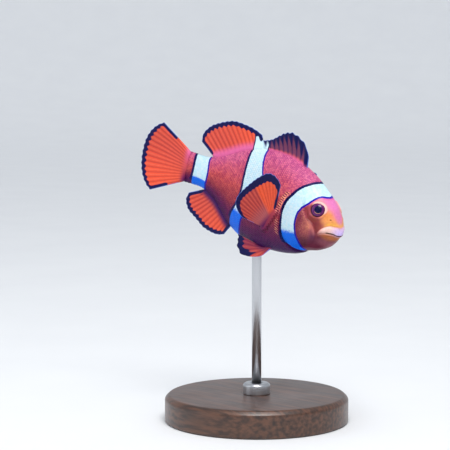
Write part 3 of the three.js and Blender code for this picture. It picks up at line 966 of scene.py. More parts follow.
class Dye(Tree):
    """A material's nodes, laid out by short calls that give amounts."""

    def __init__(self, name: str) -> None:
        """Starts an empty material with its shader."""
        self.material = bpy.data.materials.new(name)
        self.material.use_nodes = True
        super().__init__(self.material.node_tree)
        self.shader = self.tree.nodes["Principled BSDF"]
        self.object_place = self.amount("TexCoord", {}, "Object")

    def amount(self, kind: str, links: dict, output: str | int = 0, **settings: object) -> Amount:
        """What a shader node gives at an output, named or counted; the rest is as for node."""
        return Amount(self, self.node(f"ShaderNode{kind}", links, **settings).outputs[output])

    def field(self, name: str) -> Amount:
        """One of the mesh's fields."""
        return self.amount("Attribute", {}, "Fac", attribute_name=name)

    def maths(self, operation: str, first: object, second: object = None) -> Amount:
        """What an operation makes of one or two amounts."""
        return self.amount("Math", {0: first, 1: second}, operation=operation)

    def rise(self, value: Amount, low: object, high: object) -> Amount:
        """A smooth rise from 0 at low to 1 at high, or a fall where low is the larger."""
        links = {"Value": value, "From Min": low, "From Max": high}
        return self.amount("MapRange", links, "Result", interpolation_type="SMOOTHSTEP")

    def scaled(self, share: Amount, low: float, high: float) -> Amount:
        """A share from 0 to 1 turned into a number between two others."""
        return self.amount("MapRange", {"Value": share, "To Min": low, "To Max": high}, "Result")

    def mix(self, share: object, first: object, second: object, mode: str = "MIX") -> Amount:
        """The first colour with a share of the second mixed in."""
        links = {0: share, 6: first, 7: second}
        return self.amount("Mix", links, 2, data_type="RGBA", blend_type=mode)

    def shaded(self, colour: object, shade: Amount) -> Amount:
        """A colour made darker or lighter by a number around 1."""
        grey = self.amount("CombineColor", {0: shade, 1: shade, 2: shade})
        return self.mix(1.0, colour, grey, "MULTIPLY")

    def gradient(self, value: Amount, stops: Sequence[tuple[float, Colour]]) -> Amount:
        """A colour looked up along stops.

        Args:
            value: where to look, from 0 to 1.
            stops: places with their colours.

        Returns:
            The colour.
        """
        made = self.node("ShaderNodeValToRGB", {"Fac": value})
        ramp = made.color_ramp.elements
        while len(ramp) < len(stops):
            ramp.new(1.0)
        for element, (place, colour) in zip(ramp, stops):
            element.position, element.color = place, colour
        return Amount(self, made.outputs["Color"])

    def noise(self, size_mm: float, detail: float = 2.0, place: Amount | None = None) -> Amount:
        """Soft random spots of about that size."""
        links = {"Vector": place or self.object_place, "Scale": 1 / (size_mm * MM), "Detail": detail}
        return self.amount("TexNoise", links, "Fac")

    def cells(self, size_mm: float) -> Amount:
        """Distances in a pattern of random cells of that size."""
        links = {"Vector": self.object_place, "Scale": 1 / (size_mm * MM)}
        return self.amount("TexVoronoi", links, "Distance")

    def stretched(self, scale: Triple) -> Amount:
        """Object coordinates drawn out along the axes."""
        return self.amount("Mapping", {"Vector": self.object_place, "Scale": scale}, "Vector")

    def bump(self, height: Amount, depth_mm: float, below: Amount | None = None) -> Amount:
        """The way the surface faces with a relief of that depth, over another relief."""
        links = {"Distance": depth_mm * MM, "Height": height, "Normal": below}
        return self.amount("Bump", links, "Normal")

    def finish(
        self, colour: object, roughness: object, normal: Amount | None = None, **fixed: float
    ) -> Material:
        """Connects the shader.

        Args:
            colour: the base colour.
            roughness: the roughness.
            normal: the relief.
            fixed: other inputs of the shader, with _ for each space, set to one number.

        Returns:
            The material.
        """
        links = {"Base Color": colour, "Roughness": roughness, "Normal": normal}
        for name, value in (links | fixed).items():
            self.fill(self.shader.inputs[name.replace("_", " ")], value)
        return self.material


@dataclass(frozen=True)
class Blush:
    """A soft oval spot of colour on the flank."""

    station: float
    level: float
    along: float  # half its length, towards the tail
    upright: float  # half its height
    colour: Colour
    strength: float = 1.0

    def over(self, dye: Dye, beneath: Amount) -> Amount:
        """Paints the spot.

        Args:
            dye: the material's nodes.
            beneath: the colour under it.

        Returns:
            The colour with the spot.
        """
        back = (dye.field("station") - self.station) / self.along
        up = (dye.field("level") - self.level) / self.upright
        squares = back * back + up * up
        share = dye.rise(dye.maths("SQRT", squares), 1.0, 0.15) * self.strength
        return dye.mix(share, beneath, self.colour)


@dataclass(frozen=True)
class SkinDye:
    """The colours of the skin, which the scales share."""

    # belly and low flank are dark as painted shade under the body; the pale back is partly painted light from
    # above
    belly: Colour = paint(58, 0, 86)
    low_flank_in_shade: Colour = paint(98, 2, 82)
    middle: Colour = paint(158, 50, 72)
    flank: Colour = paint(208, 78, 88)
    high_flank: Colour = paint(216, 88, 122)
    back: Colour = paint(216, 98, 154)
    # painted highlight: the comb's streaks and the light on the cheek's ridge
    painted_highlight: Colour = paint(255, 152, 138)
    # painted shade between the comb's streaks
    comb_painted_shade: Colour = paint(96, 18, 62)
    grain_low: Colour = (0.66, 0.36, 0.7, 1.0)
    grain_high: Colour = (1.26, 1.8, 1.12, 1.0)
    # cheek: painted shade for the hollow in front of the cheek's ridge
    cheek: Colour = paint(120, 38, 46)
    cover: Colour = paint(172, 84, 92)
    cover_rear: Colour = paint(100, 40, 70)
    # throat: dark as painted shade under the head
    throat: Colour = paint(96, 34, 56)
    brow: Colour = paint(232, 128, 146)
    profile: Colour = paint(204, 106, 206)
    groove: Colour = paint(238, 176, 70)
    lip: Colour = paint(244, 200, 190)
    lip_front: Colour = paint(204, 182, 240)
    lip_corner: Colour = paint(206, 124, 120)
    # dark of the nostril's pit and the mouth's slit: painted shade in these recesses
    mouth: Colour = paint(52, 36, 20)
    white: Colour = paint(200, 230, 242)
    # azure of the bars' lower ends, painted shade
    white_in_shade: Colour = paint(0, 112, 244)
    edge_front: Colour = paint(10, 4, 168)
    edge_rear: Colour = paint(1, 1, 84)
    edge_low: Colour = paint(92, 8, 40)
    white_shade: Colour = (0.84, 0.97, 1.0, 1.0)
    white_light: Colour = (1.06, 1.02, 1.0, 1.0)
    # eye ring's upper front: a painted highlight over the ring's own colour
    eye_ring_highlight: Colour = paint(248, 196, 188)
    eye_ring_low: Colour = paint(214, 140, 84)
    front_edge_mm: float = 0.58
    rear_edge_mm: float = 0.8
    comb_mm: float = 0.68
    comb_slant: float = 0.26

    BLUSHES = (
        Blush(0.195, 0.0, 0.055, 0.15, paint(138, 48, 76), 0.95),  # behind the cover, by the bar
        Blush(0.152, -0.008, 0.05, 0.075, paint(190, 94, 96), 0.95),  # the cover's swelling
        Blush(0.134, 0.018, 0.026, 0.036, paint(236, 140, 116), 0.9),  # the cover's front edge, a painted highlight
        Blush(0.1, -0.105, 0.12, 0.07, paint(100, 34, 58), 1.0),  # throat, painted shade under the head
        Blush(0.045, -0.055, 0.055, 0.04, paint(140, 74, 88), 0.9),  # under the chin
        Blush(0.025, -0.012, 0.07, 0.034, paint(182, 104, 62), 0.95),  # chin
        Blush(0.088, 0.028, 0.045, 0.05, paint(154, 74, 62), 0.95),  # cheek
        Blush(0.115, 0.04, 0.05, 0.045, paint(124, 44, 56), 0.95),  # under the eye, painted shade in the hollow there
        Blush(0.165, 0.08, 0.045, 0.045, paint(168, 72, 88), 0.9),  # behind the eye
        Blush(0.08, 0.135, 0.1, 0.062, paint(242, 138, 148), 1.0),  # forehead
        Blush(0.064, 0.08, 0.042, 0.046, paint(224, 140, 74), 0.95),  # between eye and nostril
        Blush(0.158, 0.09, 0.034, 0.042, paint(168, 74, 80), 0.85),  # behind the ring
        Blush(0.122, 0.05, 0.04, 0.024, paint(160, 76, 60), 0.85),  # under the ring
        Blush(0.04, 0.056, 0.055, 0.034, paint(230, 154, 84), 0.95),  # above the lip
    )

    def flesh_and_painted_shade(self, dye: Dye) -> Amount:
        """The body's colour from belly to back, with painted shade and light: the dark purple belly and low
        flank are painted shade under the body and its pectoral fins, and the pale pink back is partly painted
        light from above.

        Args:
            dye: the material's nodes.

        Returns:
            The colour.
        """
        height = dye.field("height") + dye.scaled(dye.noise(3.0, 3), -0.08, 0.08)
        stops = [
            (0.04, self.belly), (0.2, self.low_flank_in_shade), (0.38, self.middle), (0.56, self.flank),
            (0.76, self.high_flank), (0.96, self.back)
        ]
        return dye.gradient(height, stops)

    def colour(self, dye: Dye, grain: Amount | None = None) -> Amount:
        """Paints body, face and bars.

        Args:
            dye: the material's nodes.
            grain: where a scale is dark, at 0, and where it is pale, at 1.

        Returns:
            The colour of the skin.
        """
        body = self.combed(dye, self.flesh_and_painted_shade(dye))
        skin = dye.mix(dye.rise(dye.field("face"), 0.0, 0.5), body, self.face(dye))
        skin = dye.shaded(skin, dye.scaled(dye.noise(0.55, 4), 0.8, 1.17))
        if grain is not None:
            skin = dye.mix(1.0, skin, dye.mix(grain, self.grain_low, self.grain_high), "MULTIPLY")
        return self.barred(dye, skin)

    def combed(self, dye: Dye, body: Amount) -> Amount:
        """Paints short pale streaks just behind the head's bar, painted highlights of the scale rows there,
        with painted shade between them.

        Args:
            dye: the material's nodes.
            body: the colour beneath.

        Returns:
            The colour with the painted highlights and shade.
        """
        level, station = dye.field("level"), dye.field("station")
        slanted = level - station * self.comb_slant
        slanted = slanted + dye.scaled(dye.noise(1.2, 2), -0.005, 0.005)
        wave = dye.maths("SINE", slanted * (2 * math.pi * LENGTH_MM / self.comb_mm))
        gap = dye.field("bar") + dye.scaled(dye.noise(0.7, 2), -0.6, 0.3)
        upper = dye.rise(level, -0.005, 0.02) * dye.rise(level, 0.135, 0.12)
        lower = dye.rise(level, -0.1, -0.085) * dye.rise(level, -0.012, -0.03)
        near_head = dye.rise(station, 0.4, 0.38) * dye.field("bar_rear")
        band = dye.rise(gap, 0.85, 1.0) * dye.rise(gap, 2.5, 2.0)
        band = band * near_head
        there = dye.maths("MAXIMUM", upper, lower) * band
        # Painted shade between the streaks.
        dark = dye.rise(wave, 0.1, -0.6) * there
        body = dye.mix(dark * 0.85, body, self.comb_painted_shade)
        # Painted highlights: the streaks' teeth and, higher up, a spine along the bar.
        thin = wave - lower * 0.35
        teeth = dye.rise(thin, -0.1, 0.5) * there
        spine = dye.rise(gap, 0.7, 0.8) * dye.rise(gap, 1.2, 1.0)
        spine = spine * (upper * near_head)
        return dye.mix(dye.maths("MAXIMUM", teeth, spine) * 0.88, body, self.painted_highlight)

    def face(self, dye: Dye) -> Amount:
        """Paints the face in front of the first bar.

        Args:
            dye: the material's nodes.

        Returns:
            The colour of the face.
        """
        height = dye.field("height")
        ridge = dye.field("ridge_mm")
        # Darker downwards to the throat as painted shade under the head; the pink brow is partly painted
        # light from above.
        stops = [(0.1, self.throat), (0.3, self.cover_rear), (0.55, self.cover), (0.9, self.brow)]
        face = dye.gradient(height, stops)
        for blush in self.BLUSHES:
            face = blush.over(dye, face)
        # Painted shade: the hollow in front of the cheek's ridge is darkened.
        hollow = dye.rise(ridge, -2.2, -0.2) * dye.rise(ridge, 0.12, -0.1)
        hollow = hollow * dye.scaled(dye.rise(dye.field("level"), -0.07, -0.01), 0.05, 0.68)
        face = dye.mix(hollow, face, self.cheek)
        # Painted highlight along the cheek's ridge.
        crest = dye.rise(ridge, 0.0, 0.3) * dye.rise(ridge, 1.5, 0.4)
        crest = crest * dye.rise(dye.field("level"), -0.04, 0.0)
        face = dye.mix(crest * 0.3, face, self.painted_highlight)
        edge = dye.rise(height, 0.9, 1.02) * dye.rise(dye.field("level"), 0.03, 0.06)
        face = dye.mix(edge * 0.6, face, self.profile)
        over_lip = dye.field("over_lip_mm")
        groove = dye.rise(over_lip, -0.1, 0.2) * dye.rise(over_lip, 1.4, 0.3)
        by_mouth = dye.rise(dye.field("station"), 0.075, 0.045) * 0.65
        face = dye.mix(groove * by_mouth, face, self.groove)
        # The ring round the eye is its own pale ring, paler and wider towards the top front as a painted
        # highlight.
        ring_width = dye.scaled(dye.rise(dye.field("eye_front"), 0.35, 0.9), 0.2, 1.0)
        inner = ring_width * 0.55
        ring = dye.rise(dye.field("eye_mm"), ring_width, inner) * dye.scaled(
            dye.rise(dye.field("eye_front"), 0.3, 0.75), 0.12, 0.95
        )
        ring_colour = dye.mix(dye.rise(dye.field("eye_front"), 0.3, 0.75), self.eye_ring_low, self.eye_ring_highlight)
        face = dye.mix(ring, face, ring_colour)
        # Painted shade: the nostril's pit and the slit between the lips are painted dark.
        pit = dye.rise(dye.field("nostril_mm"), 0.26, 0.1)
        face = dye.mix(pit * 0.8, face, self.mouth)
        back = dye.field("station") * 10.0
        stops = [(0.0, self.lip_front), (0.3, self.lip), (0.55, self.lip), (0.82, self.lip_corner)]
        lip = dye.gradient(back, stops)
        face = dye.mix(dye.field("lip"), face, lip)
        return dye.mix(dye.rise(dye.field("mouth_mm"), 0.24, 0.08), face, self.mouth)

    def barred(self, dye: Dye, skin: Amount) -> Amount:
        """Paints the bars and their dark edges over the skin.

        Args:
            dye: the material's nodes.
            skin: the colour beneath.

        Returns:
            The colour with its bars.
        """
        ragged = dye.scaled(dye.noise(0.9, 3), -0.09, 0.09)
        bar = dye.field("bar") + ragged
        rear = dye.field("bar_rear")
        low = dye.rise(dye.field("height"), 0.3, 0.16)
        teeth = dye.scaled(dye.noise(0.5, 2), -0.5, 0.6) * (low * rear)
        under = dye.rise(dye.field("height"), 0.17, 0.11) * rear
        width = dye.scaled(rear, self.front_edge_mm, self.rear_edge_mm) + teeth
        width = width * dye.scaled(under, 1.0, 0.35)
        beyond = bar - width
        edge = dye.mix(under, dye.mix(rear, self.edge_front, self.edge_rear), self.edge_low)
        skin = dye.mix(dye.rise(beyond, 0.08, -0.05), skin, edge)
        # Painted shade: the white turns azure towards the bottom, as it looks in bluish shade.
        falling = dye.field("height") + dye.scaled(dye.noise(0.6, 3), -0.03, 0.03)
        white = dye.mix(dye.rise(falling, 0.33, 0.27), self.white, self.white_in_shade)
        mottle = dye.mix(dye.rise(dye.noise(0.8, 4), 0.35, 0.65), self.white_shade, self.white_light)
        white = dye.mix(1.0, white, mottle, "MULTIPLY")
        return dye.mix(dye.rise(bar, 0.05, -0.05), skin, white)


@dataclass(frozen=True)
class SkinFinish:
    """Bare moist skin with fine pores."""

    dye: SkinDye = SkinDye()
    gloss: float = 0.36

    def make(self) -> Material:
        """Builds the material."""
        dye = Dye("moist_skin")
        pores = dye.bump(dye.cells(0.32), 0.02)
        folds = dye.bump(dye.noise(0.9, 4), 0.05, pores)
        roughness = dye.scaled(dye.noise(1.6, 3), self.gloss - 0.06, self.gloss + 0.08)
        return dye.finish(
            self.dye.colour(dye), roughness, folds, Specular_IOR_Level=0.15, Coat_Weight=0.05,
            Coat_Roughness=0.2
        )


@dataclass(frozen=True)
class ScaleFinish:
    """Thin scales, darker where they come out from under the next and finely ribbed."""

    dye: SkinDye = SkinDye(white=paint(214, 240, 252))
    gloss: float = 0.36
    ribs: float = 34.0
    streaks: float = 11.0

    def make(self) -> Material:
        """Builds the material."""
        dye = Dye("scale_skin")
        along, across = dye.field("scale_along"), dye.field("scale_across")
        turn = dye.maths("ARCTAN2", across, along + 1.3)
        streaks = dye.maths("SINE", turn * self.streaks)
        grain = along * 0.6 + streaks * 0.3
        grain = grain + dye.field("scale_tone") * 0.7
        colour = self.dye.colour(dye, dye.rise(grain, -0.1, 1.4))
        colour = dye.shaded(colour, dye.scaled(dye.rise(along, -0.1, 0.5), 0.85, 1.02))
        ribs = dye.maths("SINE", turn * self.ribs)
        relief = dye.bump(ribs, 0.003)
        roughness = dye.scaled(dye.noise(1.1, 3), self.gloss - 0.06, self.gloss + 0.1)
        return dye.finish(
            colour, roughness, relief, Specular_IOR_Level=0.15, Coat_Weight=0.05, Coat_Roughness=0.2
        )


@dataclass(frozen=True)
class FinFinish:
    """Rayed fins: orange, with dark toothed margins and a thin pale rim."""

    skin: SkinDye = SkinDye()
    dull: Colour = paint(190, 66, 68)
    bright: Colour = paint(255, 92, 52)
    # line: painted shade in the membrane between the rays
    line: Colour = paint(104, 26, 44)
    ray: Colour = paint(236, 122, 92)
    pale: Colour = paint(184, 98, 104)
    dusk: Colour = paint(112, 54, 84)
    rim: Colour = paint(98, 138, 236)
    black: Colour = paint(2, 4, 74)
    gloss: float = 0.4
    joint_mm: float = 0.3  # from one joint of a ray to the next

    def make(self) -> Material:
        """Builds the material."""
        dye = Dye("rayed_fin")
        phase = dye.maths("COSINE", dye.field("ray") * (2 * math.pi))
        # The fin's brightness, dull to bright; on the pectoral fins its change from front to rear is painted
        # light and shade.
        colour = dye.mix(dye.field("glow"), self.dull, self.bright)
        # Painted shade: dark lines in the membrane between the rays.
        line = dye.rise(phase, -0.3, -0.95) * dye.scaled(dye.field("glow"), 0.42, 0.22)
        colour = dye.mix(line, colour, self.line)
        colour = dye.mix(dye.rise(phase, 0.5, 1.0) * 0.3, colour, self.ray)
        colour = dye.mix(dye.field("pale"), colour, self.pale)
        colour = dye.mix(dye.field("dusk"), colour, self.dusk)
        veins = dye.rise(phase, 0.0, -0.9) * dye.field("dusk")
        colour = dye.mix(veins * 0.55, colour, self.black)
        colour = dye.mix(dye.field("stem"), colour, self.skin.flesh_and_painted_shade(dye))
        colour = dye.shaded(colour, dye.scaled(dye.noise(0.7, 4), 0.86, 1.12))
        bar = dye.field("bar")
        colour = dye.mix(dye.rise(bar, 0.5, 0.3), colour, self.black)
        colour = dye.mix(dye.rise(bar, 0.05, -0.05), colour, self.skin.white)
        teeth = phase * dye.field("teeth_mm")
        ragged = dye.scaled(dye.noise(0.8, 3), -0.12, 0.12)
        depth = dye.field("black_mm") - teeth + ragged
        outer = depth - dye.field("soft_mm")
        inner = depth + dye.field("soft_mm")
        colour = dye.mix(dye.rise(dye.field("margin_mm"), inner, outer), colour, self.black)
        rim = dye.rise(dye.field("rim_mm"), 0.13, 0.05) * 0.6
        colour = dye.mix(rim, colour, self.rim)
        joints = dye.maths("SINE", dye.field("reach_mm") * (2 * math.pi / self.joint_mm))
        relief = dye.bump(joints * dye.rise(phase, 0.6, 1.0), 0.002)
        fine = dye.bump(dye.noise(0.25, 3), 0.006, relief)
        return dye.finish(
            colour, self.gloss, fine, Specular_IOR_Level=0.18, Coat_Weight=0.05, Coat_Roughness=0.25
        )


@dataclass(frozen=True)
class EyeFinish:
    """A dark pupil in a violet iris under a wet clear front, with a painted catch-light below the pupil."""

    pupil: Colour = paint(6, 8, 56)
    inner: Colour = paint(70, 16, 92)
    outer: Colour = paint(112, 34, 106)
    edge: Colour = paint(40, 16, 62)
    painted_catchlight: Colour = paint(236, 150, 110)
    pupil_share: float = 0.5
    gloss: float = 0.12

    def make(self) -> Material:
        """Builds the material."""
        dye = Dye("wet_eye")
        place = dye.field("iris_place")
        turn = dye.maths("ARCTAN2", dye.field("iris_up"), dye.field("iris_across"))
        polar = dye.amount("CombineXYZ", {0: turn * 6.0, 1: place * 1.5})
        streaks = dye.amount("TexNoise", {"Vector": polar, "Scale": 2.2, "Detail": 4}, "Fac")
        iris = dye.mix(dye.rise(place, self.pupil_share, 0.85), self.inner, self.outer)
        iris = dye.shaded(iris, dye.scaled(streaks, 0.5, 1.3))
        # Painted reflection: a small catch-light along the lower rim of the pupil.
        low = dye.rise(dye.field("iris_up"), -0.25, -0.45)
        ring = dye.rise(place, self.pupil_share + 0.09, self.pupil_share + 0.02)
        iris = dye.mix(low * ring * 0.8, iris, self.painted_catchlight)
        iris = dye.mix(dye.rise(place, 0.8, 0.92), iris, self.edge)
        colour = dye.mix(
            dye.rise(place, self.pupil_share + 0.015, self.pupil_share - 0.015), iris, self.pupil
        )
        return dye.finish(
            colour, self.gloss, None, Specular_IOR_Level=0.2, Coat_Weight=0.3, Coat_Roughness=0.04,
            Coat_IOR=1.4
        )


@dataclass(frozen=True)
class WoodFinish:
    """Dark stained wood under a satin lacquer."""

    dark: Colour = paint(44, 27, 19)
    light: Colour = paint(92, 58, 40)

    def make(self) -> Material:
        """Builds the material."""
        dye = Dye("stained_wood")
        long_grain = dye.stretched((0.09, 1.0, 1.0))
        grain = dye.noise(1.1, 5, long_grain)
        bands = dye.noise(7.0, 3, dye.stretched((0.12, 1.0, 0.6)))
        colour = dye.mix(dye.rise(grain, 0.3, 0.7), self.dark, self.light)
        shade = dye.scaled(bands, 0.6, 1.35)
        colour = dye.shaded(colour, shade)
        pores = dye.bump(grain, 0.03)
        roughness = dye.scaled(dye.noise(9, 3), 0.34, 0.5)
        return dye.finish(colour, roughness, pores, Coat_Weight=0.35, Coat_Roughness=0.25)


@dataclass(frozen=True)
class SteelFinish:
    """Satin steel, brushed round the rod."""

    tone: Colour = paint(196, 198, 202)

    def make(self) -> Material:
        """Builds the material."""
        dye = Dye("satin_steel")
        rings = dye.noise(0.5, 4, dye.stretched((0.05, 0.05, 8.0)))
        colour = dye.shaded(self.tone, dye.scaled(rings, 0.9, 1.06))
        return dye.finish(colour, dye.scaled(rings, 0.2, 0.42), dye.bump(rings, 0.004), Metallic=1.0)


# ---- skin


@dataclass
class Skin:
    """The single skin over head, trunk and tail stalk."""

    fields: Fields
    rings: int = 360
    sides: int = 260
    crowding: float = 1.7  # how much closer the rings lie towards the snout

    NODES = (
        "head", "lip_upper", "jaw_lower", "gill_cover_right", "gill_cover_left", "trunk", "tail_stalk"
    )

    def build(self, finish: Material) -> bpy.types.Object:
        """Builds and dresses the skin.

        Args:
            finish: its material.

        Returns:
            The piece.
        """
        station = BODY_END * (np.arange(1, self.rings + 1) / self.rings) ** self.crowding
        station, angle = np.repeat(station, self.sides), np.tile(turns(self.sides), self.rings)
        points = Relief(self.fields).apply(station, angle)
        nose = points[: self.sides].mean(0)
        tail = points[-self.sides :].mean(0)
        points = np.vstack([nose, points, tail])
        mesh = make_mesh("skin", POSE.place(points), ring_faces(self.rings, self.sides))
        write_fields(mesh, {**self.fields.bars(points), **self.fields.body_places(points)})
        return show("skin", mesh, finish, self.NODES)


# ---- scales


@dataclass
class Scales:
    """The coat of thin overlapping scales, laid in rows over the skin."""

    fields: Fields
    first_station: float = 0.085
    last_station: float = 1.0
    column_gap: float = 0.87  # from one column to the next, in row spacings
    eye_clear_mm: float = 0.9
    base_clear_mm: float = 0.8  # bare skin round the pectoral fin's base
    length: float = 1.8  # of one scale, in row spacings
    width: float = 1.22
    thickness: float = 0.04
    tilt: float = 0.055
    fade: float = 0.035  # stretch over which the scales rise out of the bare face
    segments: int = 10
    patch: float = 0.003  # a scale's patch in the unwrap
    seed: int = 11

    SIZES = (
        (0.12, 0.34), (0.2, 0.44), (0.28, 0.54), (0.36, 0.68), (0.6, 0.72), (0.8, 0.62), (0.9, 0.5),
        (1.03, 0.4),
    )  # spacing of the rows in millimetres, by station
    BARE_LINE = SmoothCurve(
        [(-0.2, 0.165), (-0.1, 0.13), (0.0, 0.125), (0.05, 0.15), (0.08, 0.16), (0.1, 0.155),
         (0.125, 0.115), (0.15, 0.095), (0.2, 0.09)]
    )

    def template(self) -> tuple[Mesh, Array]:
        """One scale: a lens with its root at the front and its rim at the rear.

        Returns:
            The mesh, and each vertex's place along and across it, from -1 to 1.
        """
        turn = turns(self.segments)
        rings = []
        for reach, crown in ((0.62, 0.8), (1.0, 0.0)):
            along, across = reach * np.cos(turn), reach * np.sin(turn)
            squared = across * (1 + 0.12 * np.abs(along))
            rings.append(np.stack([along, squared, np.full_like(turn, crown)], -1))
        points = np.vstack([[0, 0, 1.0], *rings])
        underside = np.arange(len(points) - 1, self.segments, -1).tolist()
        faces = [*ring_faces(2, self.segments, closed=False), underside]
        shaped = points.copy()
        shaped[:, 0] *= self.length / 2
        shaped[:, 1] *= self.width / 2
        shaped[:, 2] *= self.thickness
        shaped[:, 2] += (shaped[:, 0] + 0.4) * self.tilt
        mesh = make_mesh("scale_shape", shaped, faces)
        return mesh, points[:, :2]

    def roots(self) -> dict[str, Array]:
        """Lays the rows of scales over the right flank.

        Returns:
            Station, angle and spacing of each scale.
        """
        table = np.array(self.SIZES)
        station, columns = self.first_station, []
        while station < self.last_station:
            size = float(np.interp(station, table[:, 0], table[:, 1]))
            columns.append((station, size))
            station += self.column_gap * size / LENGTH_MM
        found: list[Array] = []
        fine = np.linspace(0, np.pi, 721)
        for k, (station, size) in enumerate(columns):
            ring = self.fields.body.point(np.full_like(fine, station), fine)
            arc = np.concatenate([[0], np.cumsum(np.linalg.norm(np.diff(ring, axis=0), axis=1))]) / MM
            middle = np.interp(np.pi / 2, fine, arc)
            shift = 0.5 * (k % 2)
            low, high = math.ceil(-middle / size), math.floor((arc[-1] - middle) / size)
            rows = np.arange(low - 1, high + 1) + shift
            place = middle + rows * size
            place = place[(place > 0.15 * size) & (place < arc[-1] - 0.15 * size)]
            angle = np.interp(place, arc, fine)
            found.append(np.stack([np.full_like(angle, station), angle, np.full_like(angle, size)], -1))
        station, angle, size = np.vstack(found).T
        return {"station": station, "angle": angle, "size": size}

    def kept(self, roots: dict[str, Array]) -> Array:
        """Which scales lie where scales grow: not on the bare face, round the eye or on a fin's base."""
        points = self.fields.body.point(roots["station"], roots["angle"])
        flat = self.fields.flat(points)
        places = self.fields.body_places(points)
        behind_face = flat[:, 0] > self.BARE_LINE(flat[:, 1])
        clear_of_eye = places["eye_mm"] > self.eye_clear_mm
        base, _ = line_distance(flat, np.array(PECTORAL_ROOT, float))
        clear_of_base = base * LENGTH_MM > self.base_clear_mm
        hollow = (places["ridge_mm"] < 0.2) & (flat[:, 0] < 0.19)
        return behind_face & clear_of_eye & clear_of_base & ~hollow

    def seeds(self, side: int) -> tuple[Mesh, dict[str, Array]]:
        """The points that the scales of one flank grow from.

        Args:
            side: -1 for the right flank and 1 for the left.

        Returns:
            A mesh of loose points with directions and sizes, and the scales' roots.
        """
        roots = self.roots()
        keep = self.kept(roots)
        roots = {name: values[keep] for name, values in roots.items()}
        angle = roots["angle"] if side < 0 else 2 * np.pi - roots["angle"]
        roots["angle"] = angle
        points = Relief(self.fields).apply(roots["station"], angle)
        flat = self.fields.flat(points)
        risen = smooth_step(0.0, self.fade, flat[:, 0] - self.BARE_LINE(flat[:, 1]))
        by_eye = self.fields.body_places(points)["eye_mm"] - self.eye_clear_mm
        risen = np.minimum(risen, smooth_step(-0.2, 1.2, by_eye))
        outwards = self.fields.body.normal(roots["station"], angle)
        tailward = self.fields.body.tailward(roots["station"], angle)
        size = roots["size"] * MM
        points = points - outwards * ((1 - risen) * 1.2 * self.thickness * size)[:, None]
        extent = np.stack([size, size, size * blend(0.4, 1.0, risen)], -1)
        mesh = bpy.data.meshes.new("scale_roots")
        mesh.from_pydata(points.tolist(), [], [])
        for name, values in (("outwards", outwards), ("tailward", tailward), ("extent", extent)):
            layer = mesh.attributes.new(name, "FLOAT_VECTOR", "POINT")
            layer.data.foreach_set("vector", values.astype(np.float32).ravel())
        return mesh, roots

    def tree(self) -> Growth:
        """The rule that lays a scale at every root."""
        growth = Growth("lay_scales", {
            "Scale Shape": ("Object", None), "Finish": ("Material", None),
            "Unevenness": ("Float", 0.07), "Seed": ("Int", self.seed),
        })
        shape = growth.node("GeometryNodeObjectInfo", {"Object": growth.named["Scale Shape"]})
        outwards, tailward, extent = (
            growth.stored(name, "FLOAT_VECTOR") for name in ("outwards", "tailward", "extent")
        )
        facing = growth.node(
            "FunctionNodeAxesToRotation", {"Primary Axis": outwards, "Secondary Axis": tailward},
            primary_axis="Z", secondary_axis="X"
        )
        laid = growth.node("GeometryNodeInstanceOnPoints", {
            "Points": growth.named["Geometry"], "Instance": shape.outputs["Geometry"],
            "Rotation": facing.outputs["Rotation"], "Scale": extent,
        })
        most = growth.named["Unevenness"]
        least = growth.node("ShaderNodeMath", {0: most, 1: -1.0}, operation="MULTIPLY")
        turn = growth.node(
            "FunctionNodeRandomValue",
            {"Min_001": least.outputs[0], "Max_001": most, "Seed": growth.named["Seed"]},
            data_type="FLOAT"
        )
        spin = growth.node("ShaderNodeCombineXYZ", {"Z": turn.outputs[1]})
        turned = {"Instances": laid.outputs["Instances"], "Rotation": spin.outputs[0]}
        growth.end(growth.node("GeometryNodeRotateInstances", turned).outputs["Instances"])
        return growth

    def unwrap(self, mesh: Mesh, roots: dict[str, Array], local: Array) -> None:
        """Writes the unwrap: each scale is a small patch at its root's place on the skin's own.

        Args:
            mesh: the flank's scales.
            roots: the scales' roots, in the order of the mesh.
            local: each vertex's place on one scale.
        """
        count = len(roots["station"])
        root = np.stack([roots["station"] / BODY_END, roots["angle"] / (2 * np.pi)], -1)
        place = np.repeat(root, len(local), axis=0) + np.tile(local, (count, 1)) * self.patch / 2
        corner = np.zeros(len(mesh.loops), np.int32)
        mesh.loops.foreach_get("vertex_index", corner)
        layer = mesh.uv_layers.new(name="OFBake")
        layer.data.foreach_set("uv", np.clip(place[corner], 0, 1).astype(np.float32).ravel())

    def build(self, finish: Material) -> None:
        """Builds both flanks' scales.

        Args:
            finish: their material.
        """
        shape_mesh, local = self.template()
        shape = bpy.data.objects.new("scale_shape", shape_mesh)
        growth = self.tree()
        for side, name in ((-1, "right"), (1, "left")):
            seeds, roots = self.seeds(side)
            mesh = growth.grow(seeds, {"Scale Shape": shape, "Finish": finish, "Seed": self.seed + side})
            points = vertices_of(mesh)
            count = len(roots["station"])
            tone = np.random.default_rng(self.seed + side).random(count)
            self.unwrap(mesh, roots, local)
            write_fields(mesh, {
                **self.fields.bars(points),
                **self.fields.body_places(points),
                "scale_along": np.tile(local[:, 0], count),
                "scale_across": np.tile(local[:, 1], count),
                "scale_tone": np.repeat(tone, len(local)),
            })
            move_vertices(mesh, POSE.place(points))
            nodes = ("trunk", "tail_stalk", f"gill_cover_{name}")
            show(f"scales_{name}", mesh, finish, nodes)
            LOG.info("%d scales on the %s flank", count, name)
        bpy.data.objects.remove(shape)


# ---- fins


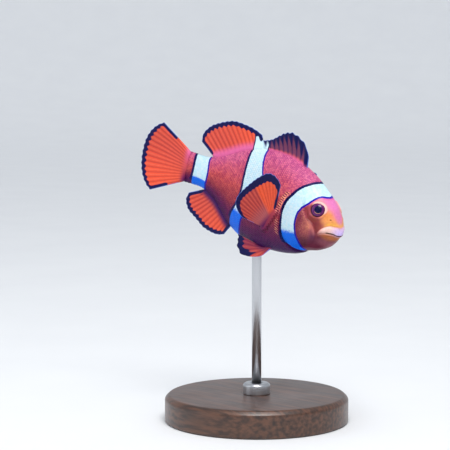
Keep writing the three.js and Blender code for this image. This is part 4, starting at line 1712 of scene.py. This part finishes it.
def plain_tones(share: Array, rise: Array, reach_mm: Array) -> dict[str, Array]:
    """How a fin is coloured between its base and its margin: an even orange.

    Args:
        share: places across the fin.
        rise: places between the body and the margin, from 0 to 1.
        reach_mm: millimetres outside the body.

    Returns:
        How bright, pale, dusky and like the body the fin is at each place, from 0 to 1.
    """
    return {
        "glow": 0.45 + 0.15 * np.sin(5.0 * share + 1.0) + 0.15 * rise, "pale": np.zeros_like(share),
        "dusk": np.zeros_like(share), "stem": smooth_step(2.6, 0.2, reach_mm)
    }


def pectoral_tones(share: Array, rise: Array, reach_mm: Array) -> dict[str, Array]:
    """A bright orange front and a dull red rear over a pale base, with a bright line at the crease: the
    front's brightness and the rear's dullness are painted light and shade, and the line a painted highlight.
    """
    front = smooth_step(0.46, 0.42, share) * smooth_step(-0.03, 0.09, share)
    crest = bell(share - 0.4, 0.035) * smooth_step(0.2, 0.5, rise)
    spot = smooth_step(6.5, 2.0, reach_mm) * smooth_step(0.32, 0.5, share)
    return {
        "glow": np.clip(0.12 + 0.72 * front + 0.3 * crest + 0.12 * share * rise, 0, 1),
        "pale": 0.75 * spot, "dusk": 0.0 * share, "stem": smooth_step(2.2, 0.1, reach_mm)
    }


def pelvic_tones(share: Array, rise: Array, reach_mm: Array) -> dict[str, Array]:
    """Orange towards the leading edge, and as dark a red as the belly at the base, which takes on the belly's
    painted shade.
    """
    return {
        "glow": np.clip(0.4 - 0.6 * share, 0, 1), "pale": 0.0 * share, "dusk": 0.0 * share,
        "stem": smooth_step(0.1, 0.9, share) * 0.45 + 0.55 * smooth_step(4.0, 0.5, reach_mm)
    }


def dorsal_tones(share: Array, rise: Array, reach_mm: Array) -> dict[str, Array]:
    """A dusky outer part that comes down to the body in front, over the body's own colour."""
    border = np.interp(share, (0.0, 0.25, 0.5, 0.75, 1.0), (0.12, 0.08, 0.03, 0.06, 0.15))
    return {
        "glow": 0.3 + 0.0 * share, "pale": 0.0 * share, "dusk": smooth_step(-0.12, 0.12, rise - border),
        "stem": smooth_step(0.06, -0.12, rise - border)
    }


@dataclass
class Fin:
    """A fin of membrane between rays, over a surface of share (across) and along (outwards)."""

    name: str
    surface: Surface
    rays: int
    length_mm: SmoothCurve  # of the rays, by share
    black_mm: tuple[Pair, ...]  # depth of the black margin, by share
    margin: tuple[Pair, ...]  # corners of the black margin, as share and along
    black_from: Pair = (0.0, 0.01)  # along, between which the margin deepens
    tones: Tones = plain_tones
    body_height: Pair = (0.5, 0.5)  # height on the body whose colour the base takes on, by share
    sink_mm: float = 1.2  # how far the root is buried
    branched: bool = True
    softness_mm: float = 0.08  # of the black margin's inner edge
    teeth_mm: float = 0.2
    pucker_mm: float = 0.04
    crease: Pair = (0.5, 0.0)  # share and depth in millimetres
    wave: Pair = (1.0, 0.0)  # number and depth in millimetres of slow waves
    root_half_mm: float = 0.42
    flare_mm: float = 1.1  # how far out the thick root reaches
    edge_half_mm: float = 0.055
    ray_mm: float = 0.12  # radius of a ray at its root
    columns: int = 6  # between two rays
    rows: int = 30
    barred: bool = False
    rim: tuple[Pair, ...] = ((0.0, 0.2), (0.0, 1.0), (1.0, 1.0), (1.0, 0.5))  # corners of the pale rim

    LEAST_BLACK = 0.2  # share of the margin's depth that is left low down
    FORK, SECOND_FORK = 0.48, 0.74  # places along a ray where it branches
    SPREAD, SECOND_SPREAD = 0.17, 0.085  # of the branches, in gaps between rays

    def reach(self, share: Array, along: Array) -> Array:
        """Millimetres outside the body, along the ray."""
        return along * (self.length_mm(share) + self.sink_mm) - self.sink_mm

    def facing(self, share: Array, along: Array) -> Array:
        """The direction that one side of the fin faces."""
        small = 1e-3
        sideways = self.surface(np.minimum(share + small, 1), along) - self.surface(
            np.maximum(share - small, 0), along
        )
        outwards = self.surface(share, np.minimum(along + small, 1)) - self.surface(
            share, np.maximum(along - small, 0)
        )
        return unit(np.cross(sideways, outwards))

    def middle(self, share: Array, along: Array) -> tuple[Array, Array]:
        """The fin's middle surface, with its puckers, crease and waves.

        Args:
            share: places across the fin.
            along: places outwards.

        Returns:
            The points in metres, and the direction that one side faces.
        """
        ray = share * (self.rays - 1)
        free = smooth_step(0.0, 0.6, along)
        pucker = self.pucker_mm * np.cos(2 * np.pi * ray) * free
        crease = self.crease[1] * free * np.maximum(0, 1 - np.abs(share - self.crease[0]) / 0.4)
        wave = self.wave[1] * free * along * np.sin(self.wave[0] * 2 * np.pi * share + 2.0 * along)
        facing = self.facing(share, along)
        return self.surface(share, along) + facing * ((pucker + crease + wave) * MM)[:, None], facing

    def half_thickness(self, share: Array, along: Array) -> Array:
        """Half the membrane's thickness, in metres."""
        reach = np.maximum(self.reach(share, along), 0)
        ends = np.sqrt(1 - np.abs(2 * share - 1) ** 12)
        flare = (self.root_half_mm - self.edge_half_mm) * ends * np.exp(-((reach / self.flare_mm) ** 1.3))
        closing = np.sqrt(np.clip(reach / 0.01 + 1, 0, 1))
        return (self.edge_half_mm + flare) * closing * MM

    def fields(self, marks: Fields, share: Array, along: Array) -> dict[str, Array]:
        """What the fin's finish reads.

        Args:
            marks: the fish's fields.
            share: places across the fin.
            along: places outwards.

        Returns:
            The fields.
        """
        points = self.surface(share, along)
        reach = self.reach(share, along)
        rise = reach / self.length_mm(share)
        black = self.LEAST_BLACK + (1 - self.LEAST_BLACK) * smooth_step(*self.black_from, along)
        margin_depth = SmoothCurve(self.black_mm)
        made = {
            "ray": share * (self.rays - 1), "reach_mm": reach,
            "margin_mm": self.gap_mm(self.margin, points), "rim_mm": self.gap_mm(self.rim, points),
            "black_mm": margin_depth(share) * black,
            "teeth_mm": self.teeth_mm * black * margin_depth(share) / margin_depth.height.max(),
            "soft_mm": np.full_like(share, self.softness_mm),
            "height": blend(self.body_height[0], self.body_height[1], share),
            **self.tones(share, rise, reach)
        }
        if self.barred:
            made.update(marks.bars(points, on_fin=True))
        else:
            made["bar"] = np.full_like(share, Fields.FAR)
        return made

    def gap_mm(self, corners: Sequence[Pair], points: Array) -> Array:
        """Distance of points to a line on the fin, in millimetres.

        Args:
            corners: the line's corners, as share and along.
            points: points of the fin.

        Returns:
            The distances, none more than 20.
        """
        knots = np.array(corners)
        path = np.concatenate([[0], np.cumsum(np.linalg.norm(np.diff(knots, axis=0), axis=1))])
        fine = np.linspace(0, path[-1], 160)
        share, along = (np.interp(fine, path, knots[:, k]) for k in range(2))
        gap, _ = line_distance(points, self.surface(share, along))
        return np.minimum(gap / MM, 20.0)

    def membrane(self) -> tuple[Array, Array, Array, list[list[int]]]:
        """The membrane as one closed thin sheet.

        Returns:
            Its points, their places across and outwards, and the faces.
        """
        columns = (self.rays - 1) * self.columns
        across = np.linspace(0, 1, columns + 1)
        outwards = np.linspace(0, 1, self.rows + 1) ** 0.9
        share = np.repeat(across, self.rows + 1)
        along = np.tile(outwards, columns + 1)
        middle, facing = self.middle(share, along)
        half = self.half_thickness(share, along)[:, None]
        points = np.vstack([middle + facing * half, middle - facing * half])
        at = np.arange(len(share)).reshape(columns + 1, self.rows + 1)
        quads = np.stack([at[:-1, :-1], at[1:, :-1], at[1:, 1:], at[:-1, 1:]], -1).reshape(-1, 4)
        other = quads[:, ::-1] + len(share)
        border = np.concatenate([at[:-1, 0], at[-1, :-1], at[:0:-1, -1], at[0, :0:-1]])
        after = np.roll(border, -1)
        rim = np.stack([after, border, border + len(share), after + len(share)], -1)
        faces = [*quads.tolist(), *other.tolist(), *rim.tolist()]
        return points, np.tile(share, 2), np.tile(along, 2), faces

    def ray_lines(self) -> list[tuple[Array, Array, Array]]:
        """Each ray's lines: share, along and radius in metres of their points.

        Returns:
            One entry for each unbranched length.
        """
        lines = []
        step = 1 / (self.rays - 1)
        fork, second = self.FORK, self.SECOND_FORK
        for k in range(self.rays):
            share = k * step
            if not self.branched or k in (0, self.rays - 1):
                along = np.linspace(0.02, 0.985, 34)
                lines.append((np.full_like(along, share), along, self._radius(along, 1.0)))
                continue
            stem = np.linspace(0.02, fork, 16)
            lines.append((np.full_like(stem, share), stem, self._radius(stem, 1.0)))
            for side in (-1, 1):
                limb = np.linspace(fork - 0.02, second, 12)
                spread = self.SPREAD * smooth_step(fork - 0.06, second + 0.1, limb)
                lines.append((share + side * step * spread, limb, self._radius(limb, 0.8)))
                for twig_side in (-1, 1):
                    twig = np.linspace(second - 0.015, 0.975, 9)
                    base = self.SPREAD * smooth_step(fork - 0.06, second + 0.1, twig)
                    fan = base + twig_side * self.SECOND_SPREAD * smooth_step(second - 0.03, 1.1, twig)
                    lines.append((share + side * step * fan, twig, self._radius(twig, 0.62)))
        return lines

    def _radius(self, along: Array, share: float) -> Array:
        """A ray's radius in metres, falling outwards."""
        return self.ray_mm * MM * share * blend(1.0, 0.3, along**1.2)

    def seeds(self, marks: Fields) -> Mesh:
        """The membrane with the lines that its rays follow.

        Args:
            marks: the fish's fields.

        Returns:
            A mesh of faces and loose lines, with the fin's fields.
        """
        points, share, along, faces = self.membrane()
        radius = [np.zeros(len(points))]
        shares, alongs, places, edges = [share], [along], [points], []
        count = len(points)
        for line_share, line_along, line_radius in self.ray_lines():
            line_share = np.clip(line_share, 0, 1)
            places.append(self.middle(line_share, line_along)[0])
            shares.append(line_share)
            alongs.append(line_along)
            radius.append(line_radius)
            edges += [[count + i, count + i + 1] for i in range(len(line_share) - 1)]
            count += len(line_share)
        mesh = bpy.data.meshes.new(f"{self.name}_seeds")
        mesh.from_pydata(np.vstack(places).tolist(), edges, faces)
        share, along = np.concatenate(shares), np.concatenate(alongs)
        write_fields(mesh, {**self.fields(marks, share, along), "ray_radius": np.concatenate(radius)})
        return mesh


def grow_rays_tree() -> Growth:
    """The rule that sweeps a round ray along each loose line of a fin and keeps its membrane."""
    growth = Growth("grow_rays", {"Finish": ("Material", None), "Ray Sides": ("Int", 7)})
    radius = growth.stored("ray_radius", "FLOAT")
    is_ray = growth.node("FunctionNodeCompare", {"A": radius, "B": 1e-6}, operation="GREATER_THAN")
    parted = growth.node(
        "GeometryNodeSeparateGeometry",
        {"Geometry": growth.named["Geometry"], "Selection": is_ray.outputs["Result"]}, domain="POINT"
    )
    lines = growth.node("GeometryNodeMeshToCurve", {"Mesh": parted.outputs["Selection"]})
    profile = growth.node(
        "GeometryNodeCurvePrimitiveCircle", {"Resolution": growth.named["Ray Sides"], "Radius": 1.0}
    )
    swept = growth.node("GeometryNodeCurveToMesh", {
        "Curve": lines.outputs["Curve"], "Profile Curve": profile.outputs["Curve"],
        "Scale": radius, "Fill Caps": True,
    })
    joined = growth.node("GeometryNodeJoinGeometry", {"Geometry": swept.outputs["Mesh"]})
    growth.fill(joined.inputs["Geometry"], parted.outputs["Inverted"])
    growth.end(joined.outputs["Geometry"])
    return growth


@dataclass(frozen=True)
class MedianShape:
    """A fin of the middle line: where its base is, and its rays' heights and leans."""

    start: float
    end: float
    rays: int
    scallop: float
    outline: tuple[Triple, ...]  # share of the base, height, lean back in degrees
    upwards: float = 1.0
    sink: float = 0.03

    def surface(self, edge: SmoothCurve) -> Surface:
        """The fin's middle surface.

        Args:
            edge: the height of the body's edge that it grows from.

        Returns:
            The surface.
        """
        height = SmoothCurve([(s, h) for s, h, _ in self.outline])
        lean = SmoothCurve([(s, a) for s, _, a in self.outline])

        def point(share: Array, along: Array) -> Array:
            """A point of the fin."""
            station = blend(self.start, self.end, share)
            tall = height(share) * scalloped(share, self.rays, self.scallop)
            reach = blend(-self.sink, tall, along)
            angle = np.radians(lean(share))
            root = edge(np.sqrt(station))
            z = root + self.upwards * reach * np.cos(angle)
            return np.stack([-station - reach * np.sin(angle), np.zeros_like(z), z], -1) * LENGTH

        return point

    def length_mm(self) -> SmoothCurve:
        """The rays' lengths in millimetres, by share."""
        return SmoothCurve([(s, h * LENGTH_MM) for s, h, _ in self.outline])


def scalloped(share: Array, rays: int, scallop: float) -> Array:
    """The share of the full length that the margin's little waves leave, less between rays."""
    return 1 - scallop * np.sin(np.pi * share * (rays - 1)) ** 2


DORSAL_FRONT = MedianShape(
    0.295, 0.568, 11, 0.05,
    (
        (0, 0.052, 10), (0.06, 0.09, 13), (0.13, 0.111, 17), (0.2, 0.122, 21), (0.28, 0.126, 24),
        (0.42, 0.112, 28), (0.6, 0.082, 31), (0.8, 0.052, 34), (1, 0.04, 36)
    )
)
DORSAL_REAR = MedianShape(
    0.575, 0.855, 15, 0.02,
    (
        (0, 0.066, 30), (0.2, 0.118, 34), (0.45, 0.158, 39), (0.7, 0.168, 46), (0.88, 0.148, 53),
        (1, 0.1, 60)
    )
)
ANAL = MedianShape(
    0.665, 0.865, 14, 0.02,
    (
        (0, 0.058, 26), (0.2, 0.112, 30), (0.45, 0.155, 37), (0.7, 0.162, 45), (0.88, 0.14, 53),
        (1, 0.092, 62)
    ),
    upwards=-1.0
)


@dataclass(frozen=True)
class TailShape:
    """The rounded fan of the tail fin."""

    root: float = 0.985
    middle: float = 0.025
    rise: float = 0.076
    spread: float = 30.0
    length: float = 0.279
    roundness: float = 0.23
    rays: int = 15
    scallop: float = 0.012

    squareness: float = 2.4

    def plain_length(self, share: Array) -> Array:
        """A ray's length, by its share."""
        return self.length * (1 - self.roundness * np.abs(2 * share - 1) ** self.squareness)

    def length_mm(self) -> SmoothCurve:
        """The rays' lengths in millimetres, by share."""
        return SmoothCurve([(s, self.plain_length(s) * LENGTH_MM) for s in np.linspace(0, 1, 11)])

    def point(self, share: Array, along: Array) -> Array:
        """A point of the fin."""
        side = 2 * share - 1
        angle = np.radians(self.spread) * side
        reach = self.plain_length(share) * scalloped(share, self.rays, self.scallop) * along
        x = -self.root - reach * np.cos(angle)
        z = self.middle + self.rise * side + reach * np.sin(angle)
        return np.stack([x, np.zeros_like(x), z], -1) * LENGTH


@dataclass(frozen=True)
class PairedShape:
    """What the paired fins share: a fan of rays on a straight root, as on the right side."""

    lengths: tuple[Pair, ...]
    rays: int
    scallop: float
    sink: float = 0.02

    def fan(self, start: Array, end: Array, direction: Callable[[Array], Array]) -> Surface:
        """The fin's middle surface.

        Args:
            start: the root's front end.
            end: its rear end.
            direction: the rays' directions, by share.

        Returns:
            The surface.
        """
        length = SmoothCurve(self.lengths)

        def point(share: Array, along: Array) -> Array:
            """A point of the fin."""
            full = length(share) * scalloped(share, self.rays, self.scallop)
            reach = blend(-self.sink, full, along) * LENGTH
            return start + (end - start) * share[:, None] + direction(share) * reach[:, None]

        return point

    def length_mm(self) -> SmoothCurve:
        """The rays' lengths in millimetres, by share."""
        return SmoothCurve([(s, h * LENGTH_MM) for s, h in self.lengths])


@dataclass(frozen=True)
class PectoralShape(PairedShape):
    """The fan of a pectoral fin, with its angles in degrees."""

    lengths: tuple[Pair, ...] = ((0, 0.154), (0.25, 0.252), (0.5, 0.238), (0.75, 0.221), (1, 0.12))
    rays: int = 17
    scallop: float = 0.01
    swing: float = 48.0  # of the fin's plane, out from the flank
    tilt: float = 32.0  # of the fin's plane, out from upright
    first: float = 4.0  # of the first and the last ray, back from upright
    last: float = 73.0

    def surface(self, body: Body) -> Surface:
        """The fin's middle surface, on the body that it grows from."""
        start, end = body.on_flank(np.array(PECTORAL_ROOT, float))
        swing, tilt = math.radians(self.swing), math.radians(self.tilt)
        back = np.array([-math.cos(swing), -math.sin(swing), 0.0])
        up = np.array([0.0, -math.sin(tilt), math.cos(tilt)])
        up = unit(up - back * (up @ back))

        def direction(share: Array) -> Array:
            """A ray's direction."""
            angle = np.radians(blend(self.first, self.last, share))
            return np.cos(angle)[:, None] * up + np.sin(angle)[:, None] * back

        return self.fan(start, end, direction)


@dataclass(frozen=True)
class PelvicShape(PairedShape):
    """The fan of a pelvic fin."""

    lengths: tuple[Pair, ...] = (
        (0, 0.056), (0.1, 0.085), (0.2, 0.105), (0.3, 0.138), (0.45, 0.167), (0.6, 0.167), (0.8, 0.153),
        (1, 0.147)
    )
    rays: int = 6
    scallop: float = 0.03
    root_from: Triple = (0.37, -0.038, -0.2035)
    root_to: Triple = (0.43, -0.026, -0.217)
    first: Pair = (3.0, 53.0)  # turned outwards and downwards, in degrees
    last: Pair = (12.0, -9.0)

    @staticmethod
    def _direction(turned: Pair) -> Array:
        """A direction from straight back, turned outwards and downwards."""
        outwards, downwards = np.radians(turned)
        level = math.cos(downwards)
        return np.array([-level * math.cos(outwards), -level * math.sin(outwards), -math.sin(downwards)])

    def surface(self, body: Body) -> Surface:
        """The fin's middle surface; its root is stated, not looked up on the body."""
        start, end = (np.array(root) * [-1, 1, 1] * LENGTH for root in (self.root_from, self.root_to))
        first, last = self._direction(self.first), self._direction(self.last)
        return self.fan(start, end, lambda share: unit(blend(first, last, share[:, None])))


def edge_line(front: float, rear: float) -> tuple[Pair, ...]:
    """A line round a fin's edge, from so far out on its first ray to so far out on its last."""
    return (0.0, front), (0.0, 1.0), (1.0, 1.0), (1.0, rear)


def mirrored(surface: Surface, flip: float) -> Surface:
    """A surface of the right side, or the same on the left side where flip is -1."""
    return lambda share, along: surface(share, along) * [1, flip, 1]


class Fins:
    """Every fin, with its membrane, rays and margin."""

    def __init__(self, marks: Fields) -> None:
        """States the fins.

        Args:
            marks: the fish's fields.
        """
        self.marks = marks
        back, belly, tail = marks.body.back, marks.body.belly, TailShape()
        median = {"sink_mm": 1.74, "flare_mm": 1.5}
        front = dict(
            median, tones=dorsal_tones, body_height=(0.95, 0.95), barred=True, branched=False,
            columns=8, softness_mm=0.95, teeth_mm=1.2, pucker_mm=0.07, wave=(0.8, 0.25),
            root_half_mm=0.7, ray_mm=0.17, margin=((0.0, 0.3), (0.0, 1.0), (1.0, 1.0)),
            black_from=(0.2, 0.6), rim=((0.0, 0.2), (0.0, 1.0), (1.0, 1.0)),
            black_mm=((0, 1.5), (0.12, 2.3), (0.3, 2.5), (0.6, 1.8), (0.85, 1.3), (1, 1.1))
        )
        rear = dict(
            median, body_height=(0.95, 0.95), barred=True, wave=(1.0, 0.35), root_half_mm=0.65,
            margin=edge_line(0.9, 0.4), rim=edge_line(0.85, 0.5),
            black_mm=((0, 1.2), (0.3, 1.3), (0.8, 1.3), (1, 0.8))
        )
        anal = dict(
            median, body_height=(0.05, 0.05), wave=(1.0, 0.3), root_half_mm=0.65,
            margin=edge_line(0.4, 0.4), black_mm=((0, 0.9), (0.3, 1.3), (0.8, 1.3), (1, 0.8))
        )
        fan = {
            "body_height": (0.12, 0.92), "sink_mm": 0.0, "wave": (1.0, 0.45), "root_half_mm": 1.05,
            "flare_mm": 4.0, "rows": 36, "margin": edge_line(0.55, 0.55),
            "black_mm": ((0, 0.8), (0.2, 1.2), (0.5, 1.4), (0.8, 1.2), (1, 0.8))
        }
        pectoral = dict(
            tones=pectoral_tones, body_height=(0.42, 0.12), sink_mm=1.16, crease=(0.42, 0.35),
            wave=(1.0, 0.12), root_half_mm=0.6, rows=34, teeth_mm=0.22, black_from=(0.66, 0.9),
            margin=edge_line(0.2, 0.8), rim=edge_line(0.6, 0.5),
            black_mm=((0, 1.4), (0.07, 2.9), (0.25, 3.3), (0.5, 2.3), (0.8, 1.4), (0.95, 0.9), (1, 0.4))
        )
        pelvic = dict(
            tones=pelvic_tones, body_height=(0.1, 0.1), sink_mm=1.16, wave=(0.8, 0.3),
            root_half_mm=0.55, flare_mm=1.5, columns=12, ray_mm=0.15, teeth_mm=0.25, softness_mm=0.12,
            margin=((0.0, 1.0), (1.0, 1.0)), rim=((0.0, 0.25), (0.0, 1.0), (0.2, 1.0)),
            black_mm=((0, 0), (0.25, 0.0), (0.33, 1.3), (0.5, 1.8), (0.8, 1.9), (1, 1.5))
        )
        self.fins = [
            Fin(name, surface, shape.rays, shape.length_mm(), **looks) for name, shape, surface,
            looks in (
                ("dorsal_front", DORSAL_FRONT, DORSAL_FRONT.surface(back), front),
                ("dorsal_rear", DORSAL_REAR, DORSAL_REAR.surface(back), rear),
                ("anal", ANAL, ANAL.surface(belly), anal), ("tail", tail, tail.point, fan)
            )
        ]
        left_pectoral = PectoralShape(swing=40.0, first=30.0, last=93.0)
        left_pelvic = PelvicShape(first=(4.0, 13.0), last=(10.0, -6.0))
        for name, flip, shape, looks in (
            ("pectoral_right", 1, PectoralShape(), pectoral), ("pelvic_right", 1, PelvicShape(), pelvic),
            ("pectoral_left", -1, left_pectoral, pectoral), ("pelvic_left", -1, left_pelvic, pelvic),
        ):
            surface = mirrored(shape.surface(marks.body), flip)
            self.fins.append(Fin(name, surface, shape.rays, shape.length_mm(), **looks))

    def build(self, finish: Material) -> None:
        """Builds every fin.

        Args:
            finish: their material.
        """
        growth = grow_rays_tree()
        for fin in self.fins:
            mesh = growth.grow(fin.seeds(self.marks), {"Finish": finish, "Ray Sides": 7})
            move_vertices(mesh, POSE.place(vertices_of(mesh)))
            show(f"rayed_{fin.name}", mesh, finish, (f"fin_{fin.name}",))


# ---- eyes


@dataclass
class Eyes:
    """The two glossy eyeballs."""

    body: Body
    rings: int = 48
    sides: int = 72
    gaze: float = 0.19  # how far the pupil is turned towards the snout

    def build(self, finish: Material) -> None:
        """Builds both eyes.

        Args:
            finish: their material.
        """
        centre, out = EYE.frame(self.body)
        across = unit(np.cross(out, [0.0, 0.0, 1.0]))
        upwards = np.cross(across, out)
        polar = np.pi * np.arange(1, self.rings) / self.rings
        theta, phi = np.repeat(polar, self.sides), np.tile(turns(self.sides), self.rings - 1)
        local = np.stack([np.sin(theta) * np.cos(phi), np.sin(theta) * np.sin(phi), np.cos(theta)], -1)
        local = np.vstack([[0, 0, 1.0], local, [0, 0, -1.0]])
        ahead = math.sqrt(1 - self.gaze**2)
        seen = local @ np.array([[ahead, 0, -self.gaze], [0, 1, 0], [self.gaze, 0, ahead]])
        spread = np.hypot(seen[:, 0], seen[:, 1])
        spread = np.where(seen[:, 2] > 0, spread, 2 - spread)
        shaped = (
            local[:, :1] * EYE.radius * across
            + local[:, 1:2] * EYE.radius * upwards
            + local[:, 2:] * EYE.depth * out
        ) * LENGTH * 0.995 + centre
        faces = ring_faces(self.rings - 1, self.sides)
        for name, flip in (("right", 1.0), ("left", -1.0)):
            points = shaped * [1, flip, 1]
            turned = faces if flip > 0 else [face[::-1] for face in faces]
            mesh = make_mesh(f"eyeball_{name}", POSE.place(points), turned)
            write_fields(mesh, {"iris_place": spread, "iris_across": seen[:, 0], "iris_up": seen[:, 1]})
            show(f"eyeball_{name}", mesh, finish, (f"eye_{name}",))


# ---- stand


@dataclass
class Stand:
    """The plain round base with its collar and rod."""

    base_radius: float = 27.0
    base_height: float = 8.0
    rod_radius: float = 1.4
    collar_radius: float = 4.0
    collar_foot: float = 8.3
    collar_height: float = 3.0
    rod_sink: float = 0.5  # how far the rod's top enters the belly
    sides: int = 160

    def turned(self, name: str, profile: Sequence[Pair]) -> Mesh:
        """A solid of revolution about the rod's line.

        Args:
            name: the mesh's name.
            profile: radii and heights in millimetres, from the axis below to the axis above.

        Returns:
            The mesh.
        """
        points = [[0.0, 0.0, profile[0][1]]]
        for radius, height in profile[1:-1]:
            points += [[radius * math.cos(t), radius * math.sin(t), height] for t in turns(self.sides)]
        points.append([0.0, 0.0, profile[-1][1]])
        faces = [face[::-1] for face in ring_faces(len(profile) - 2, self.sides)]
        return make_mesh(name, np.array(points) * MM, faces)

    @staticmethod
    def rounded(corners: Sequence[Triple], steps: int = 7) -> list[Pair]:
        """A profile whose corners are rounded off.

        Args:
            corners: radius, height and rounding of each corner.
            steps: points of each rounding.

        Returns:
            The profile.
        """
        made: list[Pair] = []
        for k, (radius, height, rounding) in enumerate(corners):
            if rounding == 0 or k in (0, len(corners) - 1):
                made.append((radius, height))
                continue
            here = np.array([radius, height])
            before = unit(np.array(corners[k - 1][:2]) - here) * rounding
            after = unit(np.array(corners[k + 1][:2]) - here) * rounding
            for t in np.linspace(0, 1, steps):
                place = here + before * (1 - t) ** 2 + after * t**2
                made.append((float(place[0]), float(place[1])))
        return made

    def build(self, wood: Material, steel: Material) -> None:
        """Builds the stand.

        Args:
            wood: the base's material.
            steel: the collar's and the rod's.
        """
        radius, height = self.base_radius, self.base_height
        base = self.rounded(
            [
                (0, 0, 0), (radius - 0.5, 0, 0.1), (radius, 0.5, 0.25), (radius, height - 1.2, 0.5),
                (radius - 1.2, height, 0.5), (2.0, height, 0.1), (1.9, height - 0.4, 0), (0, height - 0.4, 0),
            ]
        )
        show("turned_base", self.turned("turned_base", base), wood, ("stand_base",))
        foot, top = self.collar_foot - 0.25, self.collar_foot + self.collar_height
        collar = self.rounded(
            [
                (0, foot, 0), (self.collar_radius, foot, 0.15), (self.collar_radius, top - 0.6, 0.25),
                (self.collar_radius - 0.6, top, 0.25), (self.rod_radius + 0.35, top, 0.12),
                (self.rod_radius + 0.25, top - 0.5, 0), (0, top - 0.5, 0)
            ]
        )
        show("collar", self.turned("collar", collar), steel, ("stand_collar",))
        rod_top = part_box("stand_rod")[1][2] / MM + self.rod_sink
        rod = self.rounded(
            [
                (0, height - 0.3, 0), (self.rod_radius, height - 0.3, 0),
                (self.rod_radius, rod_top, 0.3), (0, rod_top, 0)
            ]
        )
        show("rod", self.turned("rod", rod), steel, ("stand_rod",))


# ---- camera, light and floor


@dataclass
class Studio:
    """The camera, the pale floor and soft lamps."""

    azimuth: float = 38.0
    elevation: float = 5.5
    distance: float = 8 * LENGTH
    lens: float = 132.5
    sensor: float = 36.0
    snout_right: float = 0.2564  # of the snout, right of the frame's middle, in frame widths
    snout_down: float = 0.0249
    aim_rounds: int = 8  # turns of the camera until the snout has its place

    def camera(self) -> None:
        """Places the camera and turns it so that the snout has its place in the frame."""
        azimuth, elevation = math.radians(self.azimuth), math.radians(self.elevation)
        level = math.cos(elevation)
        away = Vector((math.sin(azimuth) * level, -math.cos(azimuth) * level, math.sin(elevation)))
        forward, width = -away, self.sensor / self.lens
        for _ in range(self.aim_rounds):
            right = forward.cross(Vector((0, 0, 1))).normalized()
            up = right.cross(forward)
            forward = (-away - (right * self.snout_right - up * self.snout_down) * width).normalized()
        right = forward.cross(Vector((0, 0, 1))).normalized()
        up = right.cross(forward)
        data = bpy.data.cameras.new("camera")
        data.lens, data.sensor_width = self.lens, self.sensor
        data.clip_start, data.clip_end = 0.01, 20
        camera = bpy.data.objects.new("camera", data)
        turn = Matrix((right, up, -forward)).transposed()
        camera.matrix_world = Matrix.Translation(Vector(POSE.snout) + away * self.distance) @ turn.to_4x4()
        bpy.context.scene.collection.objects.link(camera)
        bpy.context.scene.camera = camera

    def lamp(self, name: str, place: Triple, size: float, power: float, tint: Triple) -> None:
        """Adds a square soft lamp that shines at the fish.

        Args:
            name: the lamp's name.
            place: where it hangs, in metres.
            size: its side.
            power: its power in watts.
            tint: its colour.
        """
        data = bpy.data.lights.new(name, "AREA")
        data.size, data.energy, data.color = size, power, tint
        lamp = bpy.data.objects.new(name, data)
        lamp.location = place
        aim = Vector((0, 0, 0.05)) - Vector(place)
        lamp.rotation_euler = aim.to_track_quat("-Z", "Y").to_euler()
        bpy.context.scene.collection.objects.link(lamp)

    def sun(self, power: float, softness: float, lean: Pair) -> None:
        """Adds an even light from above, for the floor and the backdrop.

        Args:
            power: its power in watts for each square metre.
            softness: its width in degrees.
            lean: how far it leans from upright towards +X and +Y, in degrees.
        """
        data = bpy.data.lights.new("sun", "SUN")
        data.energy, data.angle = power, math.radians(softness)
        lamp = bpy.data.objects.new("sun", data)
        lamp.rotation_euler = (-math.radians(lean[1]), math.radians(lean[0]), 0.0)
        bpy.context.scene.collection.objects.link(lamp)

    def floor(self) -> None:
        """Makes a wide pale floor whose far edge curves up."""
        profile = [(0.0, 0.0), (0.4, 0.0), (1.2, 0.0), (2.0, 0.0)]
        profile += [(2.0 + 1.0 * math.sin(t), 1.0 - math.cos(t)) for t in np.linspace(0.1, math.pi / 2, 14)]
        profile.append((3.0, 3.0))
        sides = 96
        points = [(0.0, 0.0, 0.0)]
        for reach, height in profile[1:]:
            points += [(reach * math.cos(t), reach * math.sin(t), height) for t in turns(sides)]
        mesh = make_mesh("floor", np.array(points), ring_faces(len(profile) - 1, sides, closed=False))
        floor = bpy.data.objects.new("floor", mesh)
        bpy.context.scene.collection.objects.link(floor)
        dye = Dye("pale_floor")
        grain = dye.mix(dye.noise(40, 3), paint(226, 228, 231), paint(232, 234, 236))
        mesh.materials.append(dye.finish(grain, 0.7))

    def build(self) -> None:
        """Builds the studio."""
        self.camera()
        self.floor()
        self.lamp("key", (0.3, -0.28, 0.7), 0.35, 4.0, (1.0, 0.98, 0.95))
        self.lamp("fill", (-0.5, -0.7, 0.35), 0.6, 1.0, (0.93, 0.96, 1.0))
        self.sun(0.9, 40.0, (22.0, -14.0))
        world = bpy.data.worlds.new("studio")
        world.use_nodes = True
        backdrop = world.node_tree.nodes["Background"]
        backdrop.inputs["Color"].default_value = paint(226, 230, 236)
        backdrop.inputs["Strength"].default_value = 0.75
        bpy.context.scene.world = world
        bpy.context.scene.view_settings.view_transform = "Standard"


def main() -> None:
    """Builds the model and its studio."""
    logging.basicConfig(level=logging.INFO, format="%(name)s: %(message)s")
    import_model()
    Studio().build()
    body = Body()
    fields = Fields(body)
    Skin(fields).build(SkinFinish().make())
    Scales(fields).build(ScaleFinish().make())
    Fins(fields).build(FinFinish().make())
    Eyes(body).build(EyeFinish().make())
    Stand().build(WoodFinish().make(), SteelFinish().make())


if __name__ == "__main__":
    main()
